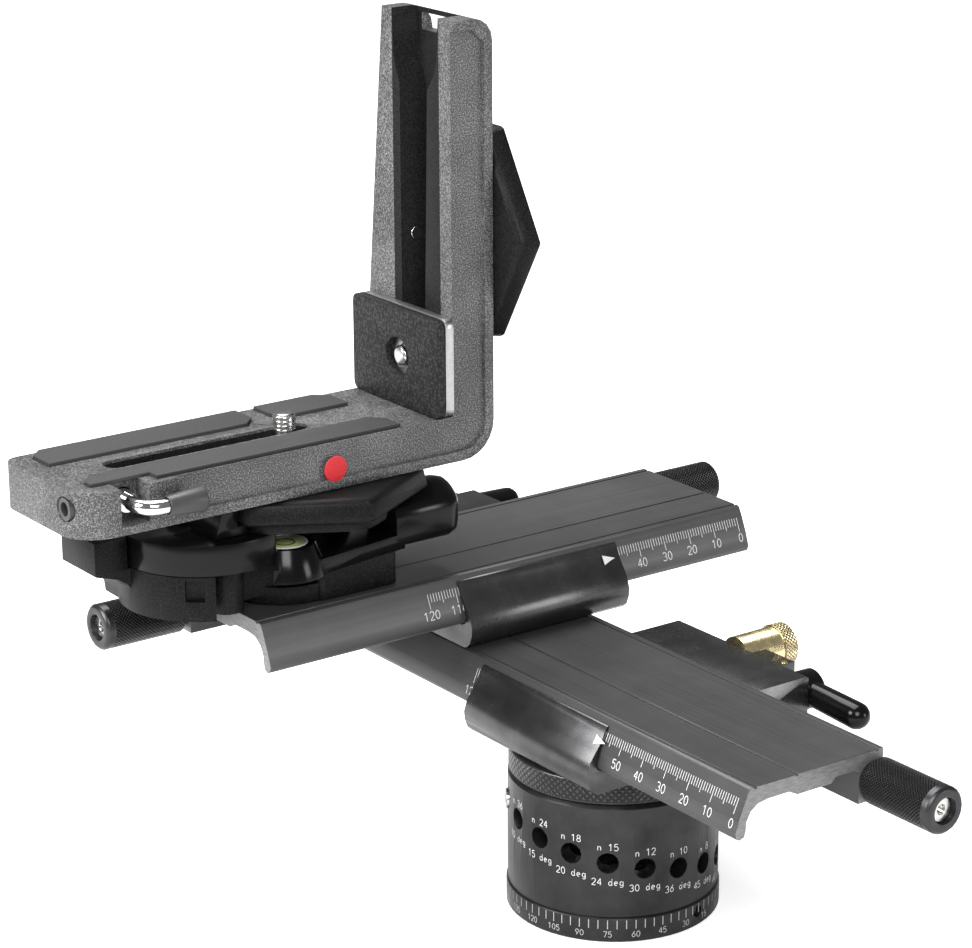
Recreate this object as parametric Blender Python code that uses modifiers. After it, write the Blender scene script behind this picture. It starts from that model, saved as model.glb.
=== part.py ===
"""Panoramic tripod head: an indexed pan base, two crossed micrometer slides,
a quick-release clamp and an L-shaped camera bracket.

Metres, +Z up. The origin is the bottom centre of the pan base, on its turning axis.
"""
import math

import bmesh
import bpy
from mathutils import Matrix, Vector

MM = 0.001
DEG = math.pi / 180

# Clearances shared by all fits
TOUCH_GAP = 0.3 * MM
RUN_GAP = 0.35 * MM
CUT_OVERRUN = 2.0 * MM

# Pan base
BASE_RADIUS = 32.0 * MM
RING_HEIGHT = 7.6 * MM
RING_EDGE = 0.4 * MM
DRUM_SETBACK = 0.4 * MM
DRUM_RADIUS = BASE_RADIUS - DRUM_SETBACK
DRUM_TOP = 43.0 * MM
DRUM_WALL = 6.0 * MM
DRUM_ROOF = 10.8 * MM
NECK_RADIUS = 25.6 * MM
LOCK_RING_SETBACK = 0.2 * MM
LOCK_RING_RADIUS = DRUM_RADIUS - LOCK_RING_SETBACK
DRUM_CHAMFER = 1.2 * MM
HEAD_SEAT = 50.8 * MM
SHAFT_RADIUS = 8.0 * MM
SHAFT_NECK_RADIUS = 5.0 * MM
SHAFT_FOOT_RADIUS = 14.0 * MM
SHAFT_FOOT = 3.0 * MM
SOCKET_RADIUS = 4.75 * MM
SOCKET_DEPTH = 12.0 * MM
BUSH_RADIUS = 7.0 * MM
INDEX_HOLE_RADIUS = 3.3 * MM
INDEX_TOP = 31.2 * MM
INDEX_PITCH = 2.05 * MM
INDEX_START = 168.6
INDEX_STEP = 20.15
INDEX_COUNTS = (36, 24, 18, 15, 12, 10, 8, 6, 5, 4)
DISC_RADIUS = 19.5 * MM
DISC_THICKNESS = 1.6 * MM
NOTCH_DEPTH = 1.1 * MM
HUB_RADIUS = 11.0 * MM
HUB_LAP = 1.5 * MM
PAN_BUSH_RADIUS = 9.8 * MM
RACE_HEIGHT = 5.0 * MM
NUT_HEIGHT = 1.6 * MM
PLUNGER_REACH = 0.6 * MM
PLUNGER_SOCKET = 2.0 * MM
GRUB_ANGLE = -76.5
GRUB_RADIUS = 1.6 * MM

# Micrometer slide, the same unit twice: across is x, travel is y, carriage bottom is z = 0
STAGE_HEIGHT = 21.6 * MM
CARRIAGE_LENGTH = 60.0 * MM
PLATE_LENGTH = 180.0 * MM
PLATE_REAR = 24.0 * MM
PLATE_SKIN = 4.6 * MM
WEB_SKIN = 6.1 * MM
LIP_REACH = 29.65 * MM
LIP_DROP = 14.4 * MM
CHANNEL_LEFT = 5.0 * MM
CHANNEL_WIDTH = 10.0 * MM
RAIL_DROP = 15.0 * MM
GROOVE_WIDTH = 0.8 * MM
GROOVE_DEPTH = 0.5 * MM
SCALE_MARGIN = 2.6 * MM
LOWER_READING = 57.8 * MM
UPPER_READING = 48.7 * MM
JAW_REACH = 33.2 * MM
SCREW_ACROSS = 20.4 * MM
SCREW_DROP = 8.3 * MM
SCREW_RADIUS = 2.8 * MM
SCREW_CHANNEL = 3.55 * MM
JOURNAL_RADIUS = 2.0 * MM
JOURNAL_BUSH = 6.0 * MM
KNOB_RADIUS = 7.0 * MM
KNOB_LENGTH = 28.5 * MM
UPPER_SINK = 4.2 * MM
KNOB_COLLAR_LENGTH = 2.0 * MM
KNOB_COLLAR_RADIUS = 5.6 * MM
KNOB_BORE_DEPTH = 5.0 * MM
KNOB_BORE_RADIUS = 3.9 * MM
BLOCK_DEPTH = 25.4 * MM
BLOCK_HEIGHT = 17.6 * MM
BLOCK_BEVEL = 0.6 * MM
NUT_LENGTH = 12.0 * MM
NUT_DEPTH = 6.5 * MM
ROD_RADIUS = 2.2 * MM
SPRING_BORE = 3.85 * MM
SPRING_RADIUS = 3.1 * MM
SPRING_WIRE = 0.4 * MM
SPRING_TURNS = 5
SPRING_LENGTH = 7.5 * MM
RELEASE_Y = 3.5 * MM
RELEASE_RADIUS = 7.0 * MM
RELEASE_NECK = 6.4 * MM
RELEASE_LENGTH = 20.0 * MM
RELEASE_HEAD = 5.6 * MM
RELEASE_TRAVEL = 3.0 * MM
LEVER_Y = -24.0 * MM
LEVER_DROP = 2.7 * MM
LEVER_HUB_RADIUS = 6.0 * MM
LEVER_HUB_WIDTH = 7.6 * MM
LEVER_HANDLE_RADIUS = 4.2 * MM
LEVER_LENGTH = 27.0 * MM
STUD_RADIUS = 2.4 * MM
LEVER_PITCH = -2.6
COVER_DEPTH = 5.7 * MM
COVER_HEIGHT = 11.0 * MM
STUD_PROUD = 0.8 * MM
SCREW_BITE = 4.0 * MM
CAP_FRONT = -14.0 * MM
CAP_BACK = 10.0 * MM
CAP_SIDE = 7.5 * MM
CAP_SEAT = 6.0 * MM
SCREW_INSET = 0.8 * MM
KNOB_SCREW_GRIP = 6.0 * MM
KNOB_HEAD_SHARE = 0.6
KNOB_THREAD_SHARE = 0.8
SPRING_WALL = 5.0 * MM
ROD_SHARE = 0.7
CAP_HEAD_RADIUS = 2.75 * MM
CAP_HEAD_HEIGHT = 3.0 * MM
CAP_SHANK_RADIUS = 1.5 * MM
HEX_SOCKET_RADIUS = 1.5 * MM

# Where the upper slide stands on the lower plate
UPPER_X = 5.3 * MM
UPPER_Y = 70.6 * MM

LOWER_FRAME = Matrix.Translation((0, 0, HEAD_SEAT + TOUCH_GAP))
UPPER_FRAME = (Matrix.Translation((UPPER_X, UPPER_Y, HEAD_SEAT + TOUCH_GAP + STAGE_HEIGHT + TOUCH_GAP))
               @ Matrix.Rotation(90 * DEG, 4, "Z"))
DECK = UPPER_FRAME.translation.z + STAGE_HEIGHT

# Quick-release clamp on the upper plate
CLAMP_X = -97.0 * MM
CLAMP_RADIUS = 25.3 * MM
CLAMP_FLOOR = 3.2 * MM
CLAMP_BODY_HEIGHT = 13.4 * MM
FOOT_RADIUS = 19.0 * MM
FOOT_RIGHT = -42.0 * MM
FOOT_CORNER = 2.5 * MM
FOOT_HEIGHT = 10.0 * MM
COLUMN_INSET = 6.0 * MM
TRAY_SHARE = 0.9
WING_LEFT = -133.5 * MM
WING_DEPTH = 10.0 * MM
WING_LIFT = 9.0 * MM
WING_NEAR = 69.5 * MM
WING_WIDTH = 19.5 * MM
PIVOT_RADIUS = 4.0 * MM
PIVOT_HEAD = 2.4 * MM
GRIP_LEFT = -42.7 * MM
GRIP_RIGHT = -18.6 * MM
GRIP_NEAR = 50.0 * MM
GRIP_WIDTH = 16.0 * MM
GRIP_HEIGHT = 17.2 * MM
GRIP_EDGE = 3.0 * MM
LEVEL_ALONG = 17.6 * MM
LEVEL_ASIDE = 16.6 * MM
JAW_THICKNESS = 5.0 * MM
FOOT_LENGTH = 28.0 * MM
FOOT_HALF_WIDTH = 20.0 * MM
CLAMP_LEVER_THICKNESS = 9.0 * MM
CLAMP_ARM_DROP = 6.3 * MM
CLAMP_SHELF = 4.6 * MM
LEVEL_RISE = 4.8 * MM
BOSS_FOOT = 12.4 * MM
BOSS_RADIUS = 8.8 * MM
NOTCH_LEFT = -107.0 * MM
NOTCH_FAR = 58.0 * MM
PILLAR_X = -99.2 * MM
PILLAR_Y = 54.5 * MM
PILLAR_RADIUS = 5.0 * MM
POCKET_ANGLE = -127.0
POCKET_LOW = 6.0 * MM
POCKET_TALL = 6.4 * MM
POCKET_HALF = 2.8 * MM
POCKET_SINK = 2.4 * MM
ARM_NEAR = 45.6 * MM
SHELF_RADIUS = 9.4 * MM
LEVEL_RADIUS = 6.7 * MM
LEVEL_DEPTH = 2.2 * MM

# L-shaped bracket
LEG_TOP = 144.8 * MM
LEG_THICKNESS = 13.5 * MM
LEG_NEAR = 43.0 * MM
LEG_WIDTH = 44.4 * MM
LEG_LEFT = -152.2 * MM
LEG_RIGHT = -12.2 * MM
ARM_TOP = 261.9 * MM
ARM_THICKNESS = 13.8 * MM
ARM_TIP_WIDTH = 35.6 * MM
CORNER_RADIUS = 11.0 * MM
FAR_CORNER = 5.0 * MM
BRACKET_EDGE = 1.2 * MM
SLOT_WIDTH = 7.6 * MM
SLOT_LEFT = -132.0 * MM
SLOT_RIGHT = -64.8 * MM
ARM_SLOT_WIDTH = 11.4 * MM
ARM_SLOT_DEPTH = 9.0 * MM
SLOT_LEAN = 2.6 * MM
FUNNEL_NEAR = 14.0 * MM
FUNNEL_FAR = 9.2 * MM
FUNNEL_DEPTH = 21.5 * MM
WINDOW_HEIGHT = 5.4 * MM
WINDOW_MARGIN = 1.8 * MM
WINDOW_SHARE = 0.9
HEX_RADIUS = 37.0 * MM
HEX_FLARE = 1.6 * MM
HEX_THICKNESS = 7.2 * MM
HEX_CORNER = 3.0 * MM
HEX_X = -65.0 * MM
HEX_RISE_SHARE = 0.5038
FLAT_SHARE = math.cos(30 * DEG)
STRIP_HEIGHT = 1.5 * MM
STRIP_WIDTH = 11.6 * MM
PAD_HEIGHT = 29.8 * MM
PAD_PLATE_THICKNESS = 2.9 * MM
PAD_FACE_THICKNESS = 2.6 * MM
PAD_HOLE_RADIUS = 5.8 * MM
CAMERA_SCREW_RADIUS = 3.1 * MM
CAMERA_SCREW_PROUD = 5.0 * MM
CAMERA_SCREW_X = -72.0 * MM
SLOT_SHOULDER = 3.6 * MM
SLOT_RECESS = 6.0 * MM
PANEL_LEFT = -120.0 * MM
PANEL_DEPTH = 1.6 * MM
RIM_WIDTH = 3.0 * MM
STRIP_EDGE = 0.8 * MM
POCKET_X = -134.4 * MM
POCKET_WIDTH = 9.0 * MM
POCKET_DEPTH = 7.5 * MM
LOCK_RADIUS = 3.2 * MM
LOCK_GRIP = 4.5 * MM
LOCK_ROD_RADIUS = 2.2 * MM
LOCK_REACH = 5.5 * MM
LOCK_LENGTH = 13.0 * MM
LOCK_CAP = 12.0 * MM
INSERT_RADIUS = 3.4 * MM
INSERT_LENGTH = 6.0 * MM
STRIP_INSIDE = 8.0 * MM
PAD_HEAD_GAP = 3.4 * MM
PAD_HEAD = 3.0 * MM
FUNNEL_SHARES = ((0.55, 0.2), (0.86, 0.42))

PARTS = "panoramic_head"
CUTTERS = "cutters"

ROUND = 32
SMALL_ROUND = 16


def clear_scene():
    for obj in list(bpy.data.objects):
        bpy.data.objects.remove(obj)


def make_collection(name):
    group = bpy.data.collections.new(name)
    bpy.context.scene.collection.children.link(group)
    return group


def principled(name, colour, roughness, metallic):
    made = bpy.data.materials.new(name)
    made.use_nodes = True
    shader = made.node_tree.nodes["Principled BSDF"]
    shader.inputs["Base Color"].default_value = (*colour, 1)
    shader.inputs["Roughness"].default_value = roughness
    shader.inputs["Metallic"].default_value = metallic
    return made


FINISHES = {
    "anodised": ((0.035, 0.036, 0.038), 0.42, 0.6),
    "satin": ((0.02, 0.02, 0.022), 0.3, 0.5),
    "cut_metal": ((0.33, 0.33, 0.34), 0.35, 1.0),
    "cast": ((0.03, 0.031, 0.033), 0.6, 0.3),
    "gloss": ((0.012, 0.012, 0.013), 0.25, 0.2),
    "brass": ((0.78, 0.6, 0.29), 0.22, 1.0),
    "steel": ((0.62, 0.62, 0.64), 0.25, 1.0),
    "rubber": ((0.02, 0.02, 0.021), 0.8, 0.0),
    "vial": ((0.55, 0.62, 0.2), 0.1, 0.0),
    "dark_plastic": ((0.05, 0.05, 0.052), 0.45, 0.0),
}


# Shapes

def box(low, high):
    shape = bmesh.new()
    low, high = Vector(low), Vector(high)
    size = high - low
    place = Matrix.Translation((low + high) / 2) @ Matrix.Diagonal((*size, 1))
    bmesh.ops.create_cube(shape, size=1, matrix=place)
    return shape


def rod(start, end, radius, end_radius=None, sides=SMALL_ROUND):
    """Cylinder or cone frustum between two points."""
    start, end = Vector(start), Vector(end)
    run = end - start
    place = Matrix.Translation((start + end) / 2) @ run.to_track_quat("Z", "Y").to_matrix().to_4x4()
    shape = bmesh.new()
    top = radius if end_radius is None else end_radius
    bmesh.ops.create_cone(shape, cap_ends=True, segments=sides, radius1=radius, radius2=top,
                          depth=run.length, matrix=place)
    return shape


def outline_shape(points, thickness, holes=()):
    """Flat outline in XY, thickened evenly both ways along Z."""
    curve = bpy.data.curves.new("outline", "CURVE")
    curve.dimensions = "2D"
    curve.fill_mode = "BOTH"
    curve.extrude = thickness / 2
    for ring in (points, *holes):
        spline = curve.splines.new("POLY")
        spline.points.add(len(ring) - 1)
        for point, (x, y) in zip(spline.points, ring):
            point.co = (x, y, 0, 1)
        spline.use_cyclic_u = True
    guide = bpy.data.objects.new("outline", curve)
    bpy.context.scene.collection.objects.link(guide)
    graph = bpy.context.evaluated_depsgraph_get()
    mesh = bpy.data.meshes.new_from_object(guide.evaluated_get(graph))
    bpy.data.objects.remove(guide)
    bpy.data.curves.remove(curve)
    shape = bmesh.new()
    shape.from_mesh(mesh)
    bpy.data.meshes.remove(mesh)
    bmesh.ops.remove_doubles(shape, verts=shape.verts, dist=0.001 * MM)
    bmesh.ops.recalc_face_normals(shape, faces=shape.faces)
    return shape


def placed(shape, matrix):
    bmesh.ops.transform(shape, matrix=matrix, verts=shape.verts)
    return shape


def along_y(x0, x1):
    """Turns an outline drawn in x and z, thickened along Y, to span y from x0 to x1."""
    return Matrix.Translation((0, (x0 + x1) / 2, 0)) @ Matrix.Rotation(90 * DEG, 4, "X")


def tube_path(points, radius, sides=8):
    """Round wire along a smooth run of points, with filled ends."""
    curve = bpy.data.curves.new("wire", "CURVE")
    curve.dimensions = "3D"
    curve.bevel_depth = radius
    curve.bevel_resolution = sides // 2 - 2
    curve.use_fill_caps = True
    spline = curve.splines.new("POLY")
    spline.points.add(len(points) - 1)
    for point, place in zip(spline.points, points):
        point.co = (*place, 1)
    guide = bpy.data.objects.new("wire", curve)
    bpy.context.scene.collection.objects.link(guide)
    graph = bpy.context.evaluated_depsgraph_get()
    mesh = bpy.data.meshes.new_from_object(guide.evaluated_get(graph))
    bpy.data.objects.remove(guide)
    bpy.data.curves.remove(curve)
    shape = bmesh.new()
    shape.from_mesh(mesh)
    bpy.data.meshes.remove(mesh)
    bmesh.ops.remove_doubles(shape, verts=shape.verts, dist=0.001 * MM)
    bmesh.ops.recalc_face_normals(shape, faces=shape.faces)
    return shape


def spun(profile, sides=ROUND, closed=False):
    """Profile in (radius, height), down its outer side, turned about Z with a Screw modifier."""
    mesh = bpy.data.meshes.new("profile")
    count = len(profile)
    edges = [(i, (i + 1) % count) for i in range(count if closed else count - 1)]
    mesh.from_pydata([(r, 0, z) for r, z in profile], edges, [])
    guide = bpy.data.objects.new("profile", mesh)
    bpy.context.scene.collection.objects.link(guide)
    spin = guide.modifiers.new("spin", "SCREW")
    spin.steps = sides
    spin.render_steps = sides
    spin.use_merge_vertices = True
    spin.merge_threshold = 0.01 * MM
    graph = bpy.context.evaluated_depsgraph_get()
    made = bpy.data.meshes.new_from_object(guide.evaluated_get(graph))
    bpy.data.objects.remove(guide)
    bpy.data.meshes.remove(mesh)
    shape = bmesh.new()
    shape.from_mesh(made)
    bpy.data.meshes.remove(made)
    bmesh.ops.remove_doubles(shape, verts=shape.verts, dist=0.001 * MM)
    return shape


def turned_along(profile, start, direction, sides=SMALL_ROUND, closed=False):
    """Turned shape whose height axis starts at a point and runs along a direction."""
    place = Matrix.Translation(start) @ Vector(direction).to_track_quat("Z", "Y").to_matrix().to_4x4()
    return placed(spun(profile, sides, closed), place)


def ring_points(radius, count, centre=(0, 0), start=0.0, sweep=360.0):
    """Points on a circle, or on an arc when the sweep is under a full turn."""
    steps = count if abs(sweep) >= 360 else count - 1
    turns = [(start + sweep * i / steps) * DEG for i in range(count)]
    return [(centre[0] + radius * math.cos(a), centre[1] + radius * math.sin(a)) for a in turns]


def rounded(points, radius, steps=4):
    """The same closed outline with every corner rounded."""
    made = []
    for i, here in enumerate(points):
        before, after = Vector(points[i - 1]), Vector(points[(i + 1) % len(points)])
        here = Vector(here)
        first, second = (before - here), (after - here)
        reach = min(radius, first.length * 0.49, second.length * 0.49)
        start, end = here + first.normalized() * reach, here + second.normalized() * reach
        for k in range(steps + 1):
            t = k / steps
            made.append(tuple(start * (1 - t) ** 2 + here * (2 * t * (1 - t)) + end * t ** 2))
    return made


def offset_path(path, gap):
    """Open path moved sideways, to the right of its own direction."""
    made = []
    for i, here in enumerate(path):
        here = Vector(here)
        normals = []
        for a, b in ((i - 1, i), (i, i + 1)):
            if a >= 0 and b < len(path):
                run = (Vector(path[b]) - Vector(path[a])).normalized()
                normals.append(Vector((run.y, -run.x)))
        middle = sum(normals, Vector((0, 0))).normalized()
        made.append(tuple(here + middle * gap / max(middle.dot(normals[0]), 0.5)))
    return made


# Objects

EMPTIES = {}
PIVOTS = {}
SHADE_ANGLE = 32 * DEG


def body(name, pivot=(0, 0, 0), parent=None):
    """An empty on the joint's axis carries the pieces of one moving body."""
    empty = bpy.data.objects.new("axis_" + name, None)
    empty.empty_display_size = BASE_RADIUS
    bpy.data.collections[PARTS].objects.link(empty)
    PIVOTS[name] = Vector(pivot)
    EMPTIES[name] = empty
    if parent:
        empty.parent = EMPTIES[parent]
        empty.location = PIVOTS[name] - PIVOTS[parent]
    else:
        empty.location = PIVOTS[name]


def mesh_object(name, shape, group, frame):
    mesh = bpy.data.meshes.new(name)
    shape.to_mesh(mesh)
    shape.free()
    mesh.shade_smooth()
    mesh.set_sharp_from_angle(angle=SHADE_ANGLE)
    made = bpy.data.objects.new(name, mesh)
    made.matrix_basis = frame
    bpy.data.collections[group].objects.link(made)
    return made


def node(name, shape, finish, carrier, frame=Matrix.Identity(4)):
    """One sub-part: its mesh is drawn in the frame, and it hangs on its body's empty."""
    made = mesh_object(name, shape, PARTS, Matrix.Translation(-PIVOTS[carrier]) @ frame)
    made.parent = EMPTIES[carrier]
    made.data.materials.append(principled(name, *FINISHES[finish]))
    return made


def combine(target, shape, operation, frame):
    tool = mesh_object(target.name + "_tool", shape, CUTTERS, frame)
    tool.hide_render = True
    tool.display_type = "WIRE"
    step = target.modifiers.new(operation.lower(), "BOOLEAN")
    step.operation = operation
    step.object = tool


def cut(target, shape, frame=Matrix.Identity(4)):
    combine(target, shape, "DIFFERENCE", frame)


def fuse(target, shape, frame=Matrix.Identity(4)):
    combine(target, shape, "UNION", frame)


def bevel(target, width, segments=1, limit=40 * DEG):
    step = target.modifiers.new("bevel", "BEVEL")
    step.width = width
    step.segments = segments
    step.limit_method = "ANGLE"
    step.angle_limit = limit


def turned(name, profile, finish, carrier, frame=Matrix.Identity(4), sides=ROUND, closed=False):
    return node(name, spun(profile, sides, closed), finish, carrier, frame)


def washer(inner, outer, low, high):
    """Closed turned profile of a plain ring."""
    return [(inner, high), (outer, high), (outer, low), (inner, low)]


# Pan base

def pan_centre():
    """Heights shared by the pieces stacked on the pan shaft."""
    roof = HEAD_SEAT - DRUM_ROOF
    seat = roof + (DRUM_ROOF - RACE_HEIGHT - NUT_HEIGHT) / 2
    return roof, seat


def degree_ring():
    profile = [
        (SHAFT_FOOT_RADIUS + TOUCH_GAP, RING_HEIGHT),
        (BASE_RADIUS - RING_EDGE, RING_HEIGHT),
        (BASE_RADIUS, RING_HEIGHT - RING_EDGE),
        (BASE_RADIUS, RING_EDGE),
        (BASE_RADIUS - RING_EDGE, 0),
        (BUSH_RADIUS + TOUCH_GAP, 0),
        (BUSH_RADIUS + TOUCH_GAP, RING_HEIGHT / 2),
        (SHAFT_FOOT_RADIUS + TOUCH_GAP, RING_HEIGHT / 2),
    ]
    ring = turned("degree_ring", profile, "anodised", "root", sides=ROUND * 2, closed=True)
    angle = GRUB_ANGLE * DEG
    out = Vector((math.cos(angle), math.sin(angle), 0))
    height = Vector((0, 0, RING_HEIGHT / 2))
    bore = out * (BASE_RADIUS + CUT_OVERRUN), out * (SHAFT_FOOT_RADIUS - CUT_OVERRUN)
    lift = height + Vector((0, 0, GRUB_RADIUS / 2))
    cut(ring, rod(bore[0] + lift, bore[1] + lift, GRUB_RADIUS + TOUCH_GAP))
    head = out * (BASE_RADIUS - GRUB_RADIUS)
    tail = out * (SHAFT_FOOT_RADIUS + TOUCH_GAP * 2)
    grub = node("ring_grub_screw", rod(head + lift, tail + lift, GRUB_RADIUS), "steel", "root")
    cut(grub, rod(head + out * CUT_OVERRUN + lift, head - out * GRUB_RADIUS + lift, GRUB_RADIUS / 2, sides=6))


def pan_shaft():
    roof, seat = pan_centre()
    top = seat + RACE_HEIGHT + NUT_HEIGHT
    foot = RING_HEIGHT / 2 + TOUCH_GAP
    profile = [
        (0, top),
        (SHAFT_NECK_RADIUS, top),
        (SHAFT_NECK_RADIUS, seat),
        (SHAFT_RADIUS, seat - TOUCH_GAP),
        (SHAFT_RADIUS, foot + SHAFT_FOOT),
        (SHAFT_FOOT_RADIUS, foot + SHAFT_FOOT),
        (SHAFT_FOOT_RADIUS, foot),
        (0, foot),
    ]
    shaft = turned("pan_shaft", profile, "steel", "root")
    cut(shaft, rod((0, 0, 0), (0, 0, SOCKET_DEPTH + TOUCH_GAP), BUSH_RADIUS + TOUCH_GAP, sides=ROUND))
    profile = washer(SOCKET_RADIUS, BUSH_RADIUS, 0, SOCKET_DEPTH)
    turned("tripod_bush", profile, "brass", "root", closed=True)
    nut = node("shaft_nut", rod((0, 0, top - NUT_HEIGHT), (0, 0, top), BUSH_RADIUS, sides=6), "steel", "root")
    cut(nut, rod((0, 0, 0), (0, 0, HEAD_SEAT), SHAFT_NECK_RADIUS + TOUCH_GAP, sides=ROUND))


def notched_disc(count, height):
    """Annulus with V notches in its rim, one for each index position."""
    half = math.degrees(NOTCH_DEPTH / DISC_RADIUS)
    pitch = 360 / count
    points = max(2, round(pitch / 22))
    rim = []
    for i in range(count):
        rim += ring_points(DISC_RADIUS - NOTCH_DEPTH, 1, start=pitch * i)
        rim += ring_points(DISC_RADIUS, points, start=pitch * i + half, sweep=pitch - 2 * half)
    bore = ring_points(HUB_RADIUS - HUB_LAP, 12, start=15)
    shape = outline_shape(rim, DISC_THICKNESS, (bore,))
    return placed(shape, Matrix.Translation((0, 0, height)))


def index_wheel():
    """Stack of notched discs on one hub, fixed on the shaft."""
    heights = [INDEX_TOP - INDEX_PITCH * i for i in range(len(INDEX_COUNTS))]
    margin = DISC_THICKNESS
    hub = washer(SHAFT_RADIUS + TOUCH_GAP, HUB_RADIUS, heights[-1] - margin, heights[0] + margin)
    made = turned("index_wheel", hub, "steel", "root", sides=12, closed=True)
    for count, height in zip(INDEX_COUNTS, heights):
        fuse(made, notched_disc(count, height))


def pan_bush():
    roof, seat = pan_centre()
    profile = washer(SHAFT_NECK_RADIUS + TOUCH_GAP, PAN_BUSH_RADIUS, seat + TOUCH_GAP, seat + RACE_HEIGHT - TOUCH_GAP)
    turned("pan_bush", profile, "brass", "pan", closed=True)


def index_drum():
    roof, seat = pan_centre()
    inside = DRUM_RADIUS - DRUM_WALL
    race_bore = PAN_BUSH_RADIUS + TOUCH_GAP
    profile = [
        (race_bore, HEAD_SEAT),
        (NECK_RADIUS, HEAD_SEAT),
        (NECK_RADIUS, DRUM_TOP),
        (DRUM_RADIUS - DRUM_CHAMFER, DRUM_TOP),
        (DRUM_RADIUS, DRUM_TOP - DRUM_CHAMFER),
        (DRUM_RADIUS, RING_HEIGHT + TOUCH_GAP),
        (inside, RING_HEIGHT + TOUCH_GAP),
        (inside, roof),
        (SHAFT_RADIUS + RUN_GAP, roof),
        (SHAFT_RADIUS + RUN_GAP, seat),
        (race_bore, seat),
    ]
    drum = turned("index_drum", profile, "anodised", "pan", sides=ROUND * 2, closed=True)
    for k in range(-1, len(INDEX_COUNTS)):
        angle = (INDEX_START + INDEX_STEP * k) * DEG
        out = Vector((math.cos(angle), math.sin(angle), 0))
        rise = Vector((0, 0, INDEX_TOP - INDEX_PITCH * k))
        hole = rod(out * (DRUM_RADIUS + CUT_OVERRUN) + rise, out * (inside - CUT_OVERRUN) + rise, INDEX_HOLE_RADIUS,
                   sides=12)
        cut(drum, hole)
    for where, x, y in carriage_screw_places():
        cut(drum, rod((x, y, HEAD_SEAT + CUT_OVERRUN), (x, y, roof + TOUCH_GAP + CAP_SHANK_RADIUS),
                      CAP_SHANK_RADIUS + TOUCH_GAP, sides=12))


def index_plunger():
    """The screwed plunger parks in the hole above the finest row."""
    angle = (INDEX_START - INDEX_STEP) * DEG
    out = Vector((math.cos(angle), math.sin(angle), 0))
    rise = Vector((0, 0, INDEX_TOP + INDEX_PITCH))
    nose = out * (DISC_RADIUS + TOUCH_GAP) + rise
    shoulder = out * (DRUM_RADIUS - DRUM_WALL + TOUCH_GAP) + rise
    head = out * (DRUM_RADIUS + PLUNGER_REACH) + rise
    radius = INDEX_HOLE_RADIUS - TOUCH_GAP
    plunger = node("index_plunger", rod(shoulder, head, radius), "steel", "index_plunger")
    fuse(plunger, rod(nose, shoulder + out * TOUCH_GAP, radius / 3, radius * 0.8))
    cut(plunger, rod(head - out * PLUNGER_SOCKET, head + out * CUT_OVERRUN, radius / 2, sides=6))


def lock_ring():
    inner, outer = NECK_RADIUS + RUN_GAP, LOCK_RING_RADIUS
    low, high = DRUM_TOP + TOUCH_GAP, HEAD_SEAT - TOUCH_GAP
    profile = [(inner, high), (outer - RING_EDGE, high), (outer, high - RING_EDGE), (outer, low + RING_EDGE),
               (outer - RING_EDGE, low), (inner, low)]
    turned("lock_ring", profile, "anodised", "lock_ring", sides=ROUND * 2, closed=True)


# Micrometer slide

def shares(points, width, height, top):
    """Points given as shares of a width and a height, measured left and down from the top."""
    return [(-x * width, top - z * height) for x, z in points]


LIP_OUTER_SHARES = ((0.83, 0.024), (0.877, 0.2), (0.917, 0.389), (0.956, 0.569), (1.0, 0.847))
LIP_INNER_SHARES = ((0.985, 0.951), (0.938, 1.0), (0.884, 0.958), (0.867, 0.847), (0.86, 0.66),
                    (0.813, 0.479), (0.722, 0.354))
LIP_ROOT_SHARE = 0.6
WEB_SHARES = (0.35, 0.25)
JAW_TOP_SHARES = (0.853, 0.111)
JAW_SHARES = ((0.785, 0.075), (0.82, 0.165), (0.849, 0.264), (0.898, 0.366), (0.964, 0.509), (1.0, 0.671), (0.994, 0.787),
              (0.961, 0.917), (0.913, 0.981), (0.873, 1.0))
GROOVE_SHARES = (0.762, 0.264)


def plate_under_path():
    """Underside of the plate from its scale face to the foot of its rear rail."""
    top = STAGE_HEIGHT
    path = shares(LIP_OUTER_SHARES[2:] + LIP_INNER_SHARES, LIP_REACH, LIP_DROP, top)
    path.append((-LIP_ROOT_SHARE * LIP_REACH, top - PLATE_SKIN))
    path.append((-WEB_SHARES[0] * LIP_REACH, top - PLATE_SKIN))
    path.append((-WEB_SHARES[1] * LIP_REACH, top - WEB_SKIN))
    slope = WEB_SKIN - PLATE_SKIN
    path.append((CHANNEL_LEFT, top - WEB_SKIN))
    path.append((CHANNEL_LEFT + slope, top - PLATE_SKIN))
    path.append((CHANNEL_LEFT + CHANNEL_WIDTH - slope, top - PLATE_SKIN))
    path.append((CHANNEL_LEFT + CHANNEL_WIDTH, top - WEB_SKIN))
    path.append((CHANNEL_LEFT + CHANNEL_WIDTH, top - RAIL_DROP))
    path.append((PLATE_REAR, top - RAIL_DROP))
    return path


def screw_height():
    return STAGE_HEIGHT - SCREW_DROP


def lever_height():
    return screw_height() - LEVER_DROP


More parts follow.
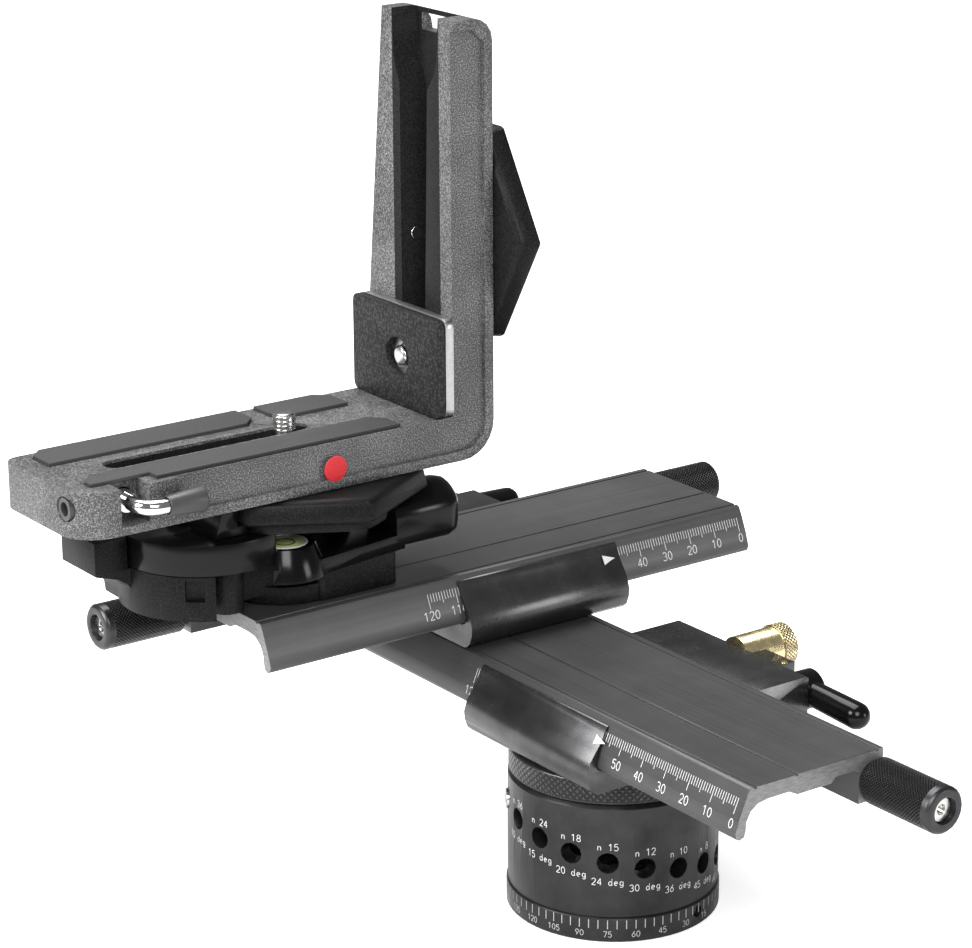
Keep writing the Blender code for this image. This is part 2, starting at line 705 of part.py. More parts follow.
def plate_outline():
    top = STAGE_HEIGHT
    outline = plate_under_path()
    z = screw_height()
    outline.append((PLATE_REAR, z - SCREW_CHANNEL))
    arc = ring_points(SCREW_CHANNEL, 9, centre=(SCREW_ACROSS, z), start=270, sweep=-180)
    outline += arc
    outline.append((PLATE_REAR, z + SCREW_CHANNEL))
    outline.append((PLATE_REAR, top))
    marks = [PLATE_REAR - 3 * GROOVE_WIDTH, -GROOVE_SHARES[1] * LIP_REACH, -GROOVE_SHARES[0] * LIP_REACH]
    for x in marks:
        outline.append((x + GROOVE_WIDTH / 2, top))
        outline.append((x + GROOVE_WIDTH / 2, top - GROOVE_DEPTH))
        outline.append((x - GROOVE_WIDTH / 2, top - GROOVE_DEPTH))
        outline.append((x - GROOVE_WIDTH / 2, top))
    lip = shares(LIP_OUTER_SHARES[:2], LIP_REACH, LIP_DROP, top)
    outline.append((lip[0][0] + GROOVE_WIDTH, top))
    return outline + lip


def carriage_outline():
    top = STAGE_HEIGHT
    edge = BLOCK_BEVEL
    back = block_span()[1]
    lip = shares((JAW_TOP_SHARES, LIP_OUTER_SHARES[1]), LIP_REACH, LIP_DROP, top)
    outline = offset_path(lip + plate_under_path() + [(PLATE_REAR, BLOCK_HEIGHT)], RUN_GAP)
    outline += [(back - edge, BLOCK_HEIGHT), (back, BLOCK_HEIGHT - edge), (back, edge), (back - edge, 0)]
    outline += shares(JAW_SHARES[::-1], JAW_REACH, STAGE_HEIGHT, top)
    return outline


def carriage_screw_places():
    """Screws that hold a carriage down, in its own frame."""
    return [("front", CAP_FRONT, -CAP_SIDE), ("back", CAP_BACK, CAP_SIDE)]


def cap_screw(seat, direction, length):
    """Socket cap screw: the head stands on the seat, the shank runs back from it."""
    socket = CAP_HEAD_HEIGHT / 2
    profile = [
        (0, socket),
        (HEX_SOCKET_RADIUS, socket),
        (HEX_SOCKET_RADIUS, CAP_HEAD_HEIGHT),
        (CAP_HEAD_RADIUS, CAP_HEAD_HEIGHT),
        (CAP_HEAD_RADIUS, 0),
        (CAP_SHANK_RADIUS, 0),
        (CAP_SHANK_RADIUS, -length),
        (0, -length),
    ]
    return turned_along(profile, seat, direction, sides=12)


def cap_bore(target, seat, direction, length, frame=Matrix.Identity(4), depth=None):
    """Counterbore and clearance hole for a cap screw."""
    seat, direction = Vector(seat), Vector(direction)
    depth = depth or CAP_HEAD_HEIGHT + CUT_OVERRUN
    profile = [
        (0, depth),
        (CAP_HEAD_RADIUS + TOUCH_GAP, depth),
        (CAP_HEAD_RADIUS + TOUCH_GAP, -TOUCH_GAP),
        (CAP_SHANK_RADIUS + TOUCH_GAP, -TOUCH_GAP),
        (CAP_SHANK_RADIUS + TOUCH_GAP, -length - TOUCH_GAP),
        (0, -length - TOUCH_GAP),
    ]
    cut(target, turned_along(profile, seat, direction, sides=16), frame)


def carriage(side, frame, carrier):
    """Saddle with dovetail jaws in front and the lock block behind."""
    half = CARRIAGE_LENGTH / 2
    saddle = node(side + "_carriage", placed(outline_shape(carriage_outline(), CARRIAGE_LENGTH),
                                             along_y(-half, half)), "satin", carrier, frame)
    for where, x, y in carriage_screw_places():
        seat = (x, y, CAP_SEAT)
        cap_bore(saddle, seat, (0, 0, 1), CAP_SEAT + CUT_OVERRUN, frame, depth=STAGE_HEIGHT)
        node(f"{side}_{where}_screw", cap_screw(seat, (0, 0, 1), CAP_SEAT + SCREW_BITE), "steel", carrier, frame)
    front, back = block_span()
    z = screw_height()
    nut_half = NUT_LENGTH / 2 + RUN_GAP
    pocket = nut_back() + RELEASE_TRAVEL + RUN_GAP
    cut(saddle, box((front - CUT_OVERRUN, RELEASE_Y - nut_half, z - SCREW_CHANNEL),
                    (pocket, RELEASE_Y + nut_half, z + SCREW_CHANNEL)), frame)
    cut(saddle, rod((pocket - CUT_OVERRUN, RELEASE_Y, z), (spring_end(), RELEASE_Y, z), SPRING_BORE), frame)
    cut(saddle, rod((pocket, RELEASE_Y, z), (back + CUT_OVERRUN, RELEASE_Y, z), ROD_RADIUS + RUN_GAP, sides=16), frame)
    stud = lever_height()
    cut(saddle, rod((front - CUT_OVERRUN, LEVER_Y, stud), (back + CUT_OVERRUN, LEVER_Y, stud), STUD_RADIUS + RUN_GAP,
                    sides=16), frame)
    cover_top = BLOCK_HEIGHT - BLOCK_BEVEL
    fuse(saddle, box((back - RUN_GAP, LEVER_Y + LEVER_HUB_RADIUS + 2 * TOUCH_GAP, cover_top - COVER_HEIGHT),
                     (back + COVER_DEPTH, RELEASE_Y - RELEASE_RADIUS - 2 * TOUCH_GAP, cover_top)), frame)


def block_span():
    front = PLATE_REAR + RUN_GAP
    return front, front + BLOCK_DEPTH


def plate(side, frame, carrier, near, far):
    made = node(side + "_plate", placed(outline_shape(plate_outline(), far - near), along_y(near, far)),
                "anodised", carrier, frame)
    return made


def lead_screw(side, frame, near, far, carrier):
    """Screw along the rail, turned by a knob at either end of the plate."""
    z = screw_height()
    x = SCREW_ACROSS
    inset = SCREW_INSET
    thread_near = near + inset + JOURNAL_BUSH + TOUCH_GAP
    thread_far = far - inset - JOURNAL_BUSH - TOUCH_GAP
    tail = KNOB_LENGTH - KNOB_BORE_DEPTH - KNOB_SCREW_GRIP
    length = thread_far - thread_near
    ends = thread_near - (near - TOUCH_GAP - tail)
    profile = [
        (0, length + ends),
        (JOURNAL_RADIUS, length + ends),
        (JOURNAL_RADIUS, length),
        (SCREW_RADIUS, length),
        (SCREW_RADIUS, 0),
        (JOURNAL_RADIUS, 0),
        (JOURNAL_RADIUS, -ends),
        (0, -ends),
    ]
    node(side + "_lead_screw", turned_along(profile, (x, thread_near, z), (0, 1, 0)), "steel", carrier, frame)
    for where, end, out in (("near", near, -1), ("far", far, 1)):
        bush = washer(JOURNAL_RADIUS + TOUCH_GAP, SCREW_CHANNEL - TOUCH_GAP, -JOURNAL_BUSH - inset, -inset)
        node(f"{side}_{where}_bush", turned_along(bush, (x, end, z), (0, out, 0), closed=True), "brass",
             side + "_plate", frame)
        knob = turned_along(knob_profile(), (x, end + out * TOUCH_GAP, z), (0, out, 0), sides=24, closed=True)
        node(f"{side}_{where}_knob", knob, "dark_plastic", carrier, frame)
        seat = KNOB_LENGTH - KNOB_BORE_DEPTH + TOUCH_GAP + TOUCH_GAP
        grip = KNOB_SCREW_GRIP - 2 * TOUCH_GAP
        head = KNOB_BORE_RADIUS - TOUCH_GAP
        tall = KNOB_BORE_DEPTH * KNOB_HEAD_SHARE
        thread = JOURNAL_RADIUS * KNOB_THREAD_SHARE
        screw = [(0, seat + tall / 2), (HEX_SOCKET_RADIUS, seat + tall / 2), (HEX_SOCKET_RADIUS, seat + tall),
                 (head, seat + tall), (head, seat), (thread, seat), (thread, seat - grip), (0, seat - grip)]
        node(f"{side}_{where}_knob_screw", turned_along(screw, (x, end, z), (0, out, 0)), "steel", carrier, frame)


def knob_profile():
    shaft_bore = JOURNAL_RADIUS + TOUCH_GAP
    rim = KNOB_RADIUS - TOUCH_GAP * 3
    return [
        (KNOB_BORE_RADIUS, KNOB_LENGTH),
        (rim, KNOB_LENGTH),
        (KNOB_RADIUS, KNOB_LENGTH - TOUCH_GAP * 3),
        (KNOB_RADIUS, KNOB_COLLAR_LENGTH),
        (KNOB_COLLAR_RADIUS, KNOB_COLLAR_LENGTH),
        (KNOB_COLLAR_RADIUS, 0),
        (shaft_bore, 0),
        (shaft_bore, KNOB_LENGTH - KNOB_BORE_DEPTH),
        (KNOB_BORE_RADIUS, KNOB_LENGTH - KNOB_BORE_DEPTH),
    ]


def nut_front():
    return SCREW_ACROSS + SCREW_RADIUS * 0.45


def nut_back():
    return nut_front() + NUT_DEPTH


def spring_end():
    return block_span()[1] - SPRING_WALL


def release(side, frame, carrier):
    """Half nut on a sprung rod, drawn off the lead screw by the brass knob."""
    z = screw_height()
    front, back = block_span()
    half = SCREW_CHANNEL - RUN_GAP
    nut = node(side + "_release_nut", box((nut_front(), RELEASE_Y - NUT_LENGTH / 2, z - half),
                                          (nut_back(), RELEASE_Y + NUT_LENGTH / 2, z + half)), "brass", carrier, frame)
    cut(nut, rod((SCREW_ACROSS, RELEASE_Y - NUT_LENGTH, z), (SCREW_ACROSS, RELEASE_Y + NUT_LENGTH, z),
                 SCREW_RADIUS + TOUCH_GAP), frame)
    tip = back + RELEASE_LENGTH * ROD_SHARE
    fuse(nut, rod((nut_back() - RUN_GAP, RELEASE_Y, z), (tip, RELEASE_Y, z), ROD_RADIUS, sides=16), frame)
    profile = [
        (0, RELEASE_LENGTH),
        (RELEASE_RADIUS * 0.86, RELEASE_LENGTH),
        (RELEASE_RADIUS, RELEASE_LENGTH - RELEASE_RADIUS * 0.14),
        (RELEASE_RADIUS, RELEASE_LENGTH - RELEASE_HEAD),
        (RELEASE_NECK, RELEASE_LENGTH - RELEASE_HEAD),
        (RELEASE_NECK, 0),
        (ROD_RADIUS + TOUCH_GAP, 0),
        (ROD_RADIUS + TOUCH_GAP, RELEASE_LENGTH * ROD_SHARE),
        (0, RELEASE_LENGTH * ROD_SHARE),
    ]
    node(side + "_release_knob", turned_along(profile, (back + TOUCH_GAP, RELEASE_Y, z), (1, 0, 0), sides=SMALL_ROUND * 2),
         "brass", carrier, frame)


def release_spring(side, frame, carrier):
    z = screw_height()
    end = spring_end() - SPRING_WIRE - TOUCH_GAP
    start = end - SPRING_LENGTH
    points = []
    per_turn = 8
    count = SPRING_TURNS * per_turn
    for i in range(count + 1):
        turn = 2 * math.pi * i / per_turn
        along = start + SPRING_LENGTH * i / count
        points.append((along, RELEASE_Y + SPRING_RADIUS * math.cos(turn), z + SPRING_RADIUS * math.sin(turn)))
    node(side + "_release_spring", tube_path(points, SPRING_WIRE, sides=6), "steel", carrier, frame)


def lever(side, frame, carrier):
    """Lock lever on a stud that drives the brake pad against the plate's rail."""
    z = lever_height()
    front, back = block_span()
    start = back + TOUCH_GAP
    middle = start + LEVER_HUB_WIDTH / 2
    hub = node(side + "_lock_lever", rod((start, LEVER_Y, z), (start + LEVER_HUB_WIDTH, LEVER_Y, z), LEVER_HUB_RADIUS,
                                         sides=SMALL_ROUND * 2), "gloss", carrier, frame)
    bevel(hub, LEVER_HUB_WIDTH * 0.12)
    rise = LEVER_LENGTH * math.tan(LEVER_PITCH * DEG)
    tip = Vector((middle, LEVER_Y - LEVER_LENGTH, z + rise))
    run = (tip - Vector((middle, LEVER_Y, z))).normalized()
    grip = LEVER_HANDLE_RADIUS
    dome = [(grip * math.sin(a * DEG), grip * math.cos(a * DEG)) for a in range(0, 90, 15)]
    dome += [(grip, 0), (grip * 0.92, -LEVER_LENGTH), (0, -LEVER_LENGTH)]
    fuse(hub, turned_along(dome, tip - run * grip, run), frame)
    nose = PLATE_REAR + TOUCH_GAP
    fuse(hub, rod((nose, LEVER_Y, z), (start + LEVER_HUB_WIDTH + STUD_PROUD, LEVER_Y, z), STUD_RADIUS, sides=16), frame)


def slide_unit(side, frame, base_body, reading, sink):
    """One carriage with its plate, lead screw, release nut and lock lever."""
    near = -CARRIAGE_LENGTH / 2 - reading - SCALE_MARGIN
    far = near + PLATE_LENGTH
    z = screw_height()
    back = block_span()[1]
    body(side + "_plate", frame @ Vector((0, near, STAGE_HEIGHT)), base_body)
    body(side + "_screw", frame @ Vector((SCREW_ACROSS, near, z)), side + "_plate")
    body(side + "_release", frame @ Vector((back, RELEASE_Y, z)), base_body)
    body(side + "_lever", frame @ Vector((back, LEVER_Y, lever_height())), base_body)
    carriage(side, frame, base_body)
    made = plate(side, frame, side + "_plate", near, far)
    if sink:
        cut(made, rod((SCREW_ACROSS, near - CUT_OVERRUN, z), (SCREW_ACROSS, near + sink, z), KNOB_RADIUS + RUN_GAP), frame)
    lead_screw(side, frame, near + sink, far, side + "_screw")
    release(side, frame, side + "_release")
    release_spring(side, frame, base_body)
    lever(side, frame, side + "_lever")


# Quick-release clamp

def clamp_levels():
    """Heights of the clamp's floor, lever, tray and seat."""
    floor = DECK + CLAMP_FLOOR
    seat = LEG_TOP - LEG_THICKNESS - TOUCH_GAP - HEX_THICKNESS - TOUCH_GAP
    lever_low = floor + CLAMP_BODY_HEIGHT + TOUCH_GAP
    lever_high = lever_low + CLAMP_LEVER_THICKNESS
    return floor, lever_low, lever_high, seat


def hexagon(radius, centre=(0, 0)):
    """Corners of a hexagon that points along Y."""
    return ring_points(radius, 6, centre=centre, start=90)


def bracket_middle():
    return LEG_NEAR + LEG_WIDTH / 2


def flat_between(outline, low, high):
    return placed(outline_shape(outline, high - low), Matrix.Translation((0, 0, (low + high) / 2)))


def clamp_body():
    floor, lever_low, lever_high, seat = clamp_levels()
    foot = DECK + TOUCH_GAP
    y = UPPER_Y
    lap = TOUCH_GAP
    foot_left = FOOT_RIGHT - FOOT_LENGTH
    made = node("clamp_body", rod((CLAMP_X, y, floor), (CLAMP_X, y, lever_low - TOUCH_GAP), CLAMP_RADIUS, sides=ROUND),
                "cast", "upper_plate")
    block_outline = rounded([(foot_left, y - FOOT_HALF_WIDTH), (FOOT_RIGHT, y - FOOT_HALF_WIDTH),
                             (FOOT_RIGHT, y + FOOT_HALF_WIDTH), (foot_left, y + FOOT_HALF_WIDTH)], FOOT_CORNER)
    cut(made, box((NOTCH_LEFT, y - CLAMP_RADIUS - CUT_OVERRUN, floor - CUT_OVERRUN),
                  (CLAMP_X + CLAMP_RADIUS + CUT_OVERRUN, NOTCH_FAR, lever_low)))
    fuse(made, rod((PILLAR_X, PILLAR_Y, floor), (PILLAR_X, PILLAR_Y, lever_low - 2 * lap), PILLAR_RADIUS))
    turn = Matrix.Translation((CLAMP_X, y, 0)) @ Matrix.Rotation(POCKET_ANGLE * DEG, 4, "Z")
    pocket_low = floor + POCKET_LOW
    cut(made, box((CLAMP_RADIUS - POCKET_SINK, -POCKET_HALF, pocket_low),
                  (CLAMP_RADIUS + CUT_OVERRUN, POCKET_HALF, pocket_low + POCKET_TALL)), turn)
    fuse(made, flat_between(block_outline, foot, foot + FOOT_HEIGHT))
    fuse(made, rod((foot_left - lap, y, foot), (foot_left - lap, y, floor + FOOT_CORNER), FOOT_RADIUS, sides=ROUND))
    column_left, column_right, column_near = foot_left + COLUMN_INSET, FOOT_RIGHT - FOOT_CORNER, y + lap
    column_far = y + FOOT_HALF_WIDTH - lap
    column = rounded([(column_left, column_near), (column_right, column_near), (column_right, column_far),
                      (column_left, column_far)], FOOT_CORNER)
    tray_low = lever_high + TOUCH_GAP
    fuse(made, flat_between(column, foot + FOOT_CORNER, tray_low + lap))
    tray = rounded(hexagon(HEX_RADIUS * TRAY_SHARE, (HEX_X, bracket_middle())), HEX_CORNER * 2)
    fuse(made, flat_between(tray, tray_low, seat))
    reach = GRIP_LEFT - CLAMP_X - 2 * lap
    cut(made, spun(washer(reach, reach + HEX_RADIUS * 2, tray_low - lap / 2, seat + CUT_OVERRUN), closed=True),
        Matrix.Translation((CLAMP_X, y, 0)))
    top = lever_low + WING_LIFT
    root = CLAMP_X - CLAMP_RADIUS
    wing = [(WING_LEFT, top), (WING_LEFT, top - WING_DEPTH), (WING_LEFT + lap * 2, top - WING_DEPTH - lap)]
    wing += ring_points(root - WING_LEFT, 6, centre=(WING_LEFT + FOOT_CORNER, floor + lap), start=80, sweep=-80)
    wing += [(CLAMP_X, floor + lap), (CLAMP_X, lever_low - 2 * lap), (root - 2 * lap, lever_low - 2 * lap),
             (root - 2 * lap, top)]
    fuse(made, placed(outline_shape(wing, WING_WIDTH), along_y(WING_NEAR, WING_NEAR + WING_WIDTH)))
    cut(made, rod((CLAMP_X, y, floor + CLAMP_BODY_HEIGHT / 4), (CLAMP_X, y, lever_low + CUT_OVERRUN),
                  PIVOT_RADIUS + TOUCH_GAP))
    place = (foot_left + FOOT_LENGTH / 2, y - GROOVE_WIDTH * 2, DECK - WEB_SKIN + TOUCH_GAP)
    length = WEB_SKIN + CAP_HEAD_HEIGHT * 2
    flat_head = [(0, length), (CAP_SHANK_RADIUS, length), (CAP_SHANK_RADIUS, CAP_SHANK_RADIUS),
                 (CAP_HEAD_RADIUS, 0), (0, 0)]
    node("clamp_screw", turned_along(flat_head, place, (0, 0, 1), sides=16), "steel", "upper_plate")
    sunk = CAP_HEAD_RADIUS + CUT_OVERRUN
    loose = CAP_SHANK_RADIUS + TOUCH_GAP
    foot_of = TOUCH_GAP * 3 / 2 - CUT_OVERRUN
    bore = [(0, length + TOUCH_GAP), (loose, length + TOUCH_GAP), (loose, loose), (sunk, foot_of), (0, foot_of)]
    for drilled in (bpy.data.objects["upper_plate"], made):
        cut(drilled, turned_along(bore, place, (0, 0, 1), sides=16))


def clamp_lever():
    floor, low, high, seat = clamp_levels()
    y = UPPER_Y
    x = CLAMP_X
    pivot = Vector((x, y, low))
    made = node("clamp_lever", rod((x, y, low), (x, y, high), CLAMP_RADIUS, sides=ROUND), "gloss", "clamp_lever")
    arm_low = low - CLAMP_ARM_DROP
    shelf = arm_low + CLAMP_SHELF
    level_top = shelf + LEVEL_RISE
    arm = [(x + CLAMP_RADIUS / 3, ARM_NEAR + TOUCH_GAP), (x + CLAMP_RADIUS, ARM_NEAR),
           (GRIP_LEFT - GRIP_EDGE, GRIP_NEAR - TOUCH_GAP), (GRIP_LEFT + GRIP_EDGE, GRIP_NEAR + TOUCH_GAP),
           (GRIP_LEFT + GRIP_EDGE, y - TOUCH_GAP), (x + CLAMP_RADIUS, y - CLAMP_RADIUS / 4),
           (x + CLAMP_RADIUS / 2, y)]
    fuse(made, flat_between(arm, arm_low, shelf))
    level_x, level_y = level_place()
    fuse(made, rod((level_x, level_y, arm_low + TOUCH_GAP), (level_x, level_y, level_top), BOSS_FOOT, BOSS_RADIUS,
                   sides=ROUND))
    grip = [(GRIP_NEAR + GRIP_WIDTH * across, arm_low + TOUCH_GAP + GRIP_HEIGHT * up) for across, up in GRIP_SHARES]
    fuse(made, lofted(rounded(grip, GRIP_EDGE), GRIP_END_SHARES, GRIP_LEFT, GRIP_RIGHT))
    cut(made, rod((x, y, arm_low - CUT_OVERRUN), (x, y, low), CLAMP_RADIUS + 2 * TOUCH_GAP, sides=ROUND))
    cut(made, rod((level_x, level_y, level_top), (level_x, level_y, high + CUT_OVERRUN), SHELF_RADIUS,
                  sides=SMALL_ROUND * 2))
    cut(made, rod((level_x, level_y, level_top - LEVEL_DEPTH), (level_x, level_y, high), LEVEL_RADIUS + TOUCH_GAP,
                  sides=SMALL_ROUND * 2))
    cut(made, rod(pivot - Vector((0, 0, CUT_OVERRUN)), (x, y, high + CUT_OVERRUN), PIVOT_RADIUS + TOUCH_GAP))
    head = PIVOT_RADIUS * 1.5
    cut(made, rod((x, y, high - PIVOT_HEAD), (x, y, high + CUT_OVERRUN), head + TOUCH_GAP))
    profile = [(0, high - TOUCH_GAP), (head, high - TOUCH_GAP), (head, high - PIVOT_HEAD + TOUCH_GAP),
               (PIVOT_RADIUS, high - PIVOT_HEAD + TOUCH_GAP),
               (PIVOT_RADIUS, floor + CLAMP_BODY_HEIGHT / 4 + TOUCH_GAP), (0, floor + CLAMP_BODY_HEIGHT / 4 + TOUCH_GAP)]
    node("clamp_pivot", turned_along(profile, (x, y, 0), (0, 0, 1)), "steel", "upper_plate")
    vial = rod((level_x, level_y, level_top - LEVEL_DEPTH + TOUCH_GAP), (level_x, level_y, level_top - TOUCH_GAP), LEVEL_RADIUS,
               sides=SMALL_ROUND * 2)
    node("level_vial", vial, "vial", "clamp_lever")


GRIP_SHARES = ((0, 0), (0, 0.68), (0.45, 1.0), (0.82, 0.97), (1.0, 0.6), (1.0, 0))
GRIP_END_SHARES = ((0, 1.0), (0.8, 1.0), (0.93, 0.9), (1.0, 0.7))


def lofted(outline, station_shares, start, end):
    """Outline in y and z carried along X, scaled about its middle at each station."""
    shape = bmesh.new()
    middle = sum((Vector(p) for p in outline), Vector((0, 0))) / len(outline)
    rings = []
    for along, scale in station_shares:
        x = start + (end - start) * along
        spots = [middle + (Vector(p) - middle) * scale for p in outline]
        rings.append([shape.verts.new((x, p.x, p.y)) for p in spots])
    for ring, following in zip(rings, rings[1:]):
        for i in range(len(ring)):
            j = (i + 1) % len(ring)
            shape.faces.new((ring[i], ring[j], following[j], following[i]))
    shape.faces.new(rings[0][::-1])
    shape.faces.new(rings[-1])
    bmesh.ops.recalc_face_normals(shape, faces=shape.faces)
    return shape


def level_place():
    return CLAMP_X + LEVEL_ALONG, UPPER_Y - LEVEL_ASIDE


def clamp_jaw():
    """Sliding jaw that hooks over the left edge of the bracket's hexagon."""
    floor, low, high, seat = clamp_levels()
    flat = HEX_RADIUS * FLAT_SHARE
    edge = HEX_X - flat
    base = high + TOUCH_GAP
    top = seat + HEX_THICKNESS
    back = edge - JAW_THICKNESS
    lean = HEX_FLARE * FLAT_SHARE
    tray_side = HEX_X - HEX_RADIUS * TRAY_SHARE * FLAT_SHARE - TOUCH_GAP
    outline = [(tray_side, base), (tray_side, seat + TOUCH_GAP), (edge - TOUCH_GAP, seat + TOUCH_GAP),
               (edge - TOUCH_GAP + lean, top), (back, top), (back - JAW_THICKNESS / 2, base)]
    half = HEX_RADIUS * 0.4
    y = bracket_middle()
    made = node("clamp_jaw", placed(outline_shape(outline, 2 * half), along_y(y - half, y + half)), "gloss", "clamp_jaw")
    return made


# L-shaped bracket

def arm_inner():
    return LEG_RIGHT - ARM_THICKNESS


def bracket():
    bottom = LEG_TOP - LEG_THICKNESS
    inner = arm_inner()
    near, far = LEG_NEAR, LEG_NEAR + LEG_WIDTH
    big = CORNER_RADIUS
    corner = ring_points(big, 7, centre=(LEG_RIGHT - big, bottom + big), start=270, sweep=90)
    side = [(LEG_LEFT, bottom)] + corner
    side += ring_points(big * 0.6, 5, centre=(LEG_RIGHT - big * 0.6, ARM_TOP - big * 0.6), start=0, sweep=90)
    side += [(inner, ARM_TOP)]
    side += [(inner, LEG_TOP), (LEG_LEFT, LEG_TOP)]
    made = node("bracket", placed(outline_shape(side, LEG_WIDTH), along_y(near, far)), "cast", "upper_plate")
    combine(made, flat_between(plan_long_square(near, far), bottom - CUT_OVERRUN, ARM_TOP + CUT_OVERRUN),
            "INTERSECT", Matrix.Identity(4))
    lean = LEG_WIDTH - ARM_TIP_WIDTH
    wedge = [(far - lean, ARM_TOP + CUT_OVERRUN), (far + CUT_OVERRUN, ARM_TOP + CUT_OVERRUN),
             (far + CUT_OVERRUN, LEG_TOP + PAD_HEIGHT), (far, LEG_TOP + PAD_HEIGHT)]
    cut(made, across_x(wedge, inner - CUT_OVERRUN, LEG_RIGHT + CUT_OVERRUN))
    bevel(made, BRACKET_EDGE)
    bracket_slots(made, near, bottom, inner)
    return made


def plan_long_square(near, far):
    """Plan of the bracket with rounded corners at its free end."""
    big, small = CORNER_RADIUS, FAR_CORNER
    right = LEG_RIGHT + CUT_OVERRUN
    points = ring_points(big, 6, centre=(LEG_LEFT + big, near + big), start=270, sweep=-90)
    points += ring_points(small, 6, centre=(LEG_LEFT + small, far - small), start=180, sweep=-90)
    return points + [(right, far), (right, near)]


def across_x(outline, low, high):
    """Outline drawn in y and z, thickened along X."""
    turn = Matrix(((0, 0, 1, 0), (1, 0, 0, 0), (0, 1, 0, 0), (0, 0, 0, 1)))
    return placed(outline_shape(outline, high - low), Matrix.Translation(((low + high) / 2, 0, 0)) @ turn)


def slot_outline(x0, x1, y, width, steps=9):
    half = width / 2
    ends = ring_points(half, steps, centre=(x1 - half, y), start=-90, sweep=180)
    return ends + ring_points(half, steps, centre=(x0 + half, y), start=90, sweep=180)


def rear_hexagon_height():
    bottom = LEG_TOP - LEG_THICKNESS
    return bottom + (ARM_TOP - bottom) * HEX_RISE_SHARE


def slot_y():
    return bracket_middle() - GROOVE_WIDTH


def bracket_slots(made, near, bottom, inner):
    y = slot_y()
    cut(made, flat_between(slot_outline(SLOT_LEFT, SLOT_RIGHT, y, SLOT_WIDTH), bottom - CUT_OVERRUN,
                           LEG_TOP + CUT_OVERRUN))
    wide = SLOT_WIDTH + SLOT_SHOULDER * 2
    cut(made, flat_between(slot_outline(SLOT_LEFT - SLOT_SHOULDER, SLOT_RIGHT + SLOT_SHOULDER, y, wide),
                           bottom - CUT_OVERRUN, bottom + SLOT_RECESS))
    half = ARM_SLOT_WIDTH / 2
    funnel_foot = ARM_TOP - FUNNEL_DEPTH
    foot = LEG_TOP + PAD_HEIGHT * 0.3
    outline = []
    for reach, narrow in ((FUNNEL_FAR, half), (-FUNNEL_NEAR, -half - SLOT_LEAN)):
        side = [(math.copysign(half, reach), foot + half), (narrow, funnel_foot)]
        side += [(narrow + (reach - narrow) * across, funnel_foot + FUNNEL_DEPTH * up) for across, up in FUNNEL_SHARES]
        side.append((reach, ARM_TOP + CUT_OVERRUN))
        outline += side if reach > 0 else side[::-1]
    outline = [(y + dy, z) for dy, z in outline]
    outline += ring_points(half, 7, centre=(y, foot + half), start=180, sweep=180)[1:-1]
    cut(made, across_x(outline, inner - CUT_OVERRUN, inner + ARM_SLOT_DEPTH))
    window_top = ARM_TOP - WINDOW_MARGIN
    cut(made, box((inner, y - FUNNEL_NEAR * WINDOW_SHARE, window_top - WINDOW_HEIGHT),
                  (LEG_RIGHT + CUT_OVERRUN, y + FUNNEL_FAR * WINDOW_SHARE, window_top)))
    rim = RIM_WIDTH
    bend = CORNER_RADIUS
    panel = [(inner - CUT_OVERRUN, ARM_TOP - rim), (inner - CUT_OVERRUN, LEG_TOP + STRIP_WIDTH),
             (inner - STRIP_WIDTH, LEG_TOP + CUT_OVERRUN), (PANEL_LEFT, LEG_TOP + CUT_OVERRUN),
             (PANEL_LEFT, bottom + rim)]
    panel += ring_points(bend - rim, 6, centre=(LEG_RIGHT - bend, bottom + bend), start=270, sweep=90)
    panel += [(LEG_RIGHT - rim, ARM_TOP - rim * 2.4), (LEG_RIGHT - rim * 2.4, ARM_TOP - rim)]
    cut(made, placed(outline_shape(panel, PANEL_DEPTH * 2), along_y(near - PANEL_DEPTH, near + PANEL_DEPTH)))
    cut(made, box((POCKET_X - POCKET_WIDTH / 2, near - CUT_OVERRUN, bottom + SLOT_RECESS * 0.4),
                  (POCKET_X + POCKET_WIDTH / 2, near + POCKET_DEPTH, LEG_TOP + CUT_OVERRUN)))
    lock_z = lock_height()
    cut(made, rod((POCKET_X, near, lock_z), (POCKET_X, near + POCKET_DEPTH + LOCK_GRIP, lock_z),
                  LOCK_RADIUS + TOUCH_GAP))
    insert_z = LEG_TOP - LEG_THICKNESS * 0.4
    cut(made, rod((LEG_LEFT - CUT_OVERRUN, insert_y(), insert_z), (LEG_LEFT + INSERT_LENGTH, insert_y(), insert_z),
                  INSERT_RADIUS + TOUCH_GAP))
    profile = washer(INSERT_RADIUS * 0.6, INSERT_RADIUS, 0, INSERT_LENGTH - TOUCH_GAP)
    insert = turned_along(profile, (LEG_LEFT + TOUCH_GAP, insert_y(), insert_z), (1, 0, 0), closed=True)
    node("corner_insert", insert, "steel", "upper_plate")
    strips(made)
    hex_plates()


def insert_y():
    return LEG_NEAR + CORNER_RADIUS * 0.8


def lock_height():
    return LEG_TOP - LEG_THICKNESS * 0.4


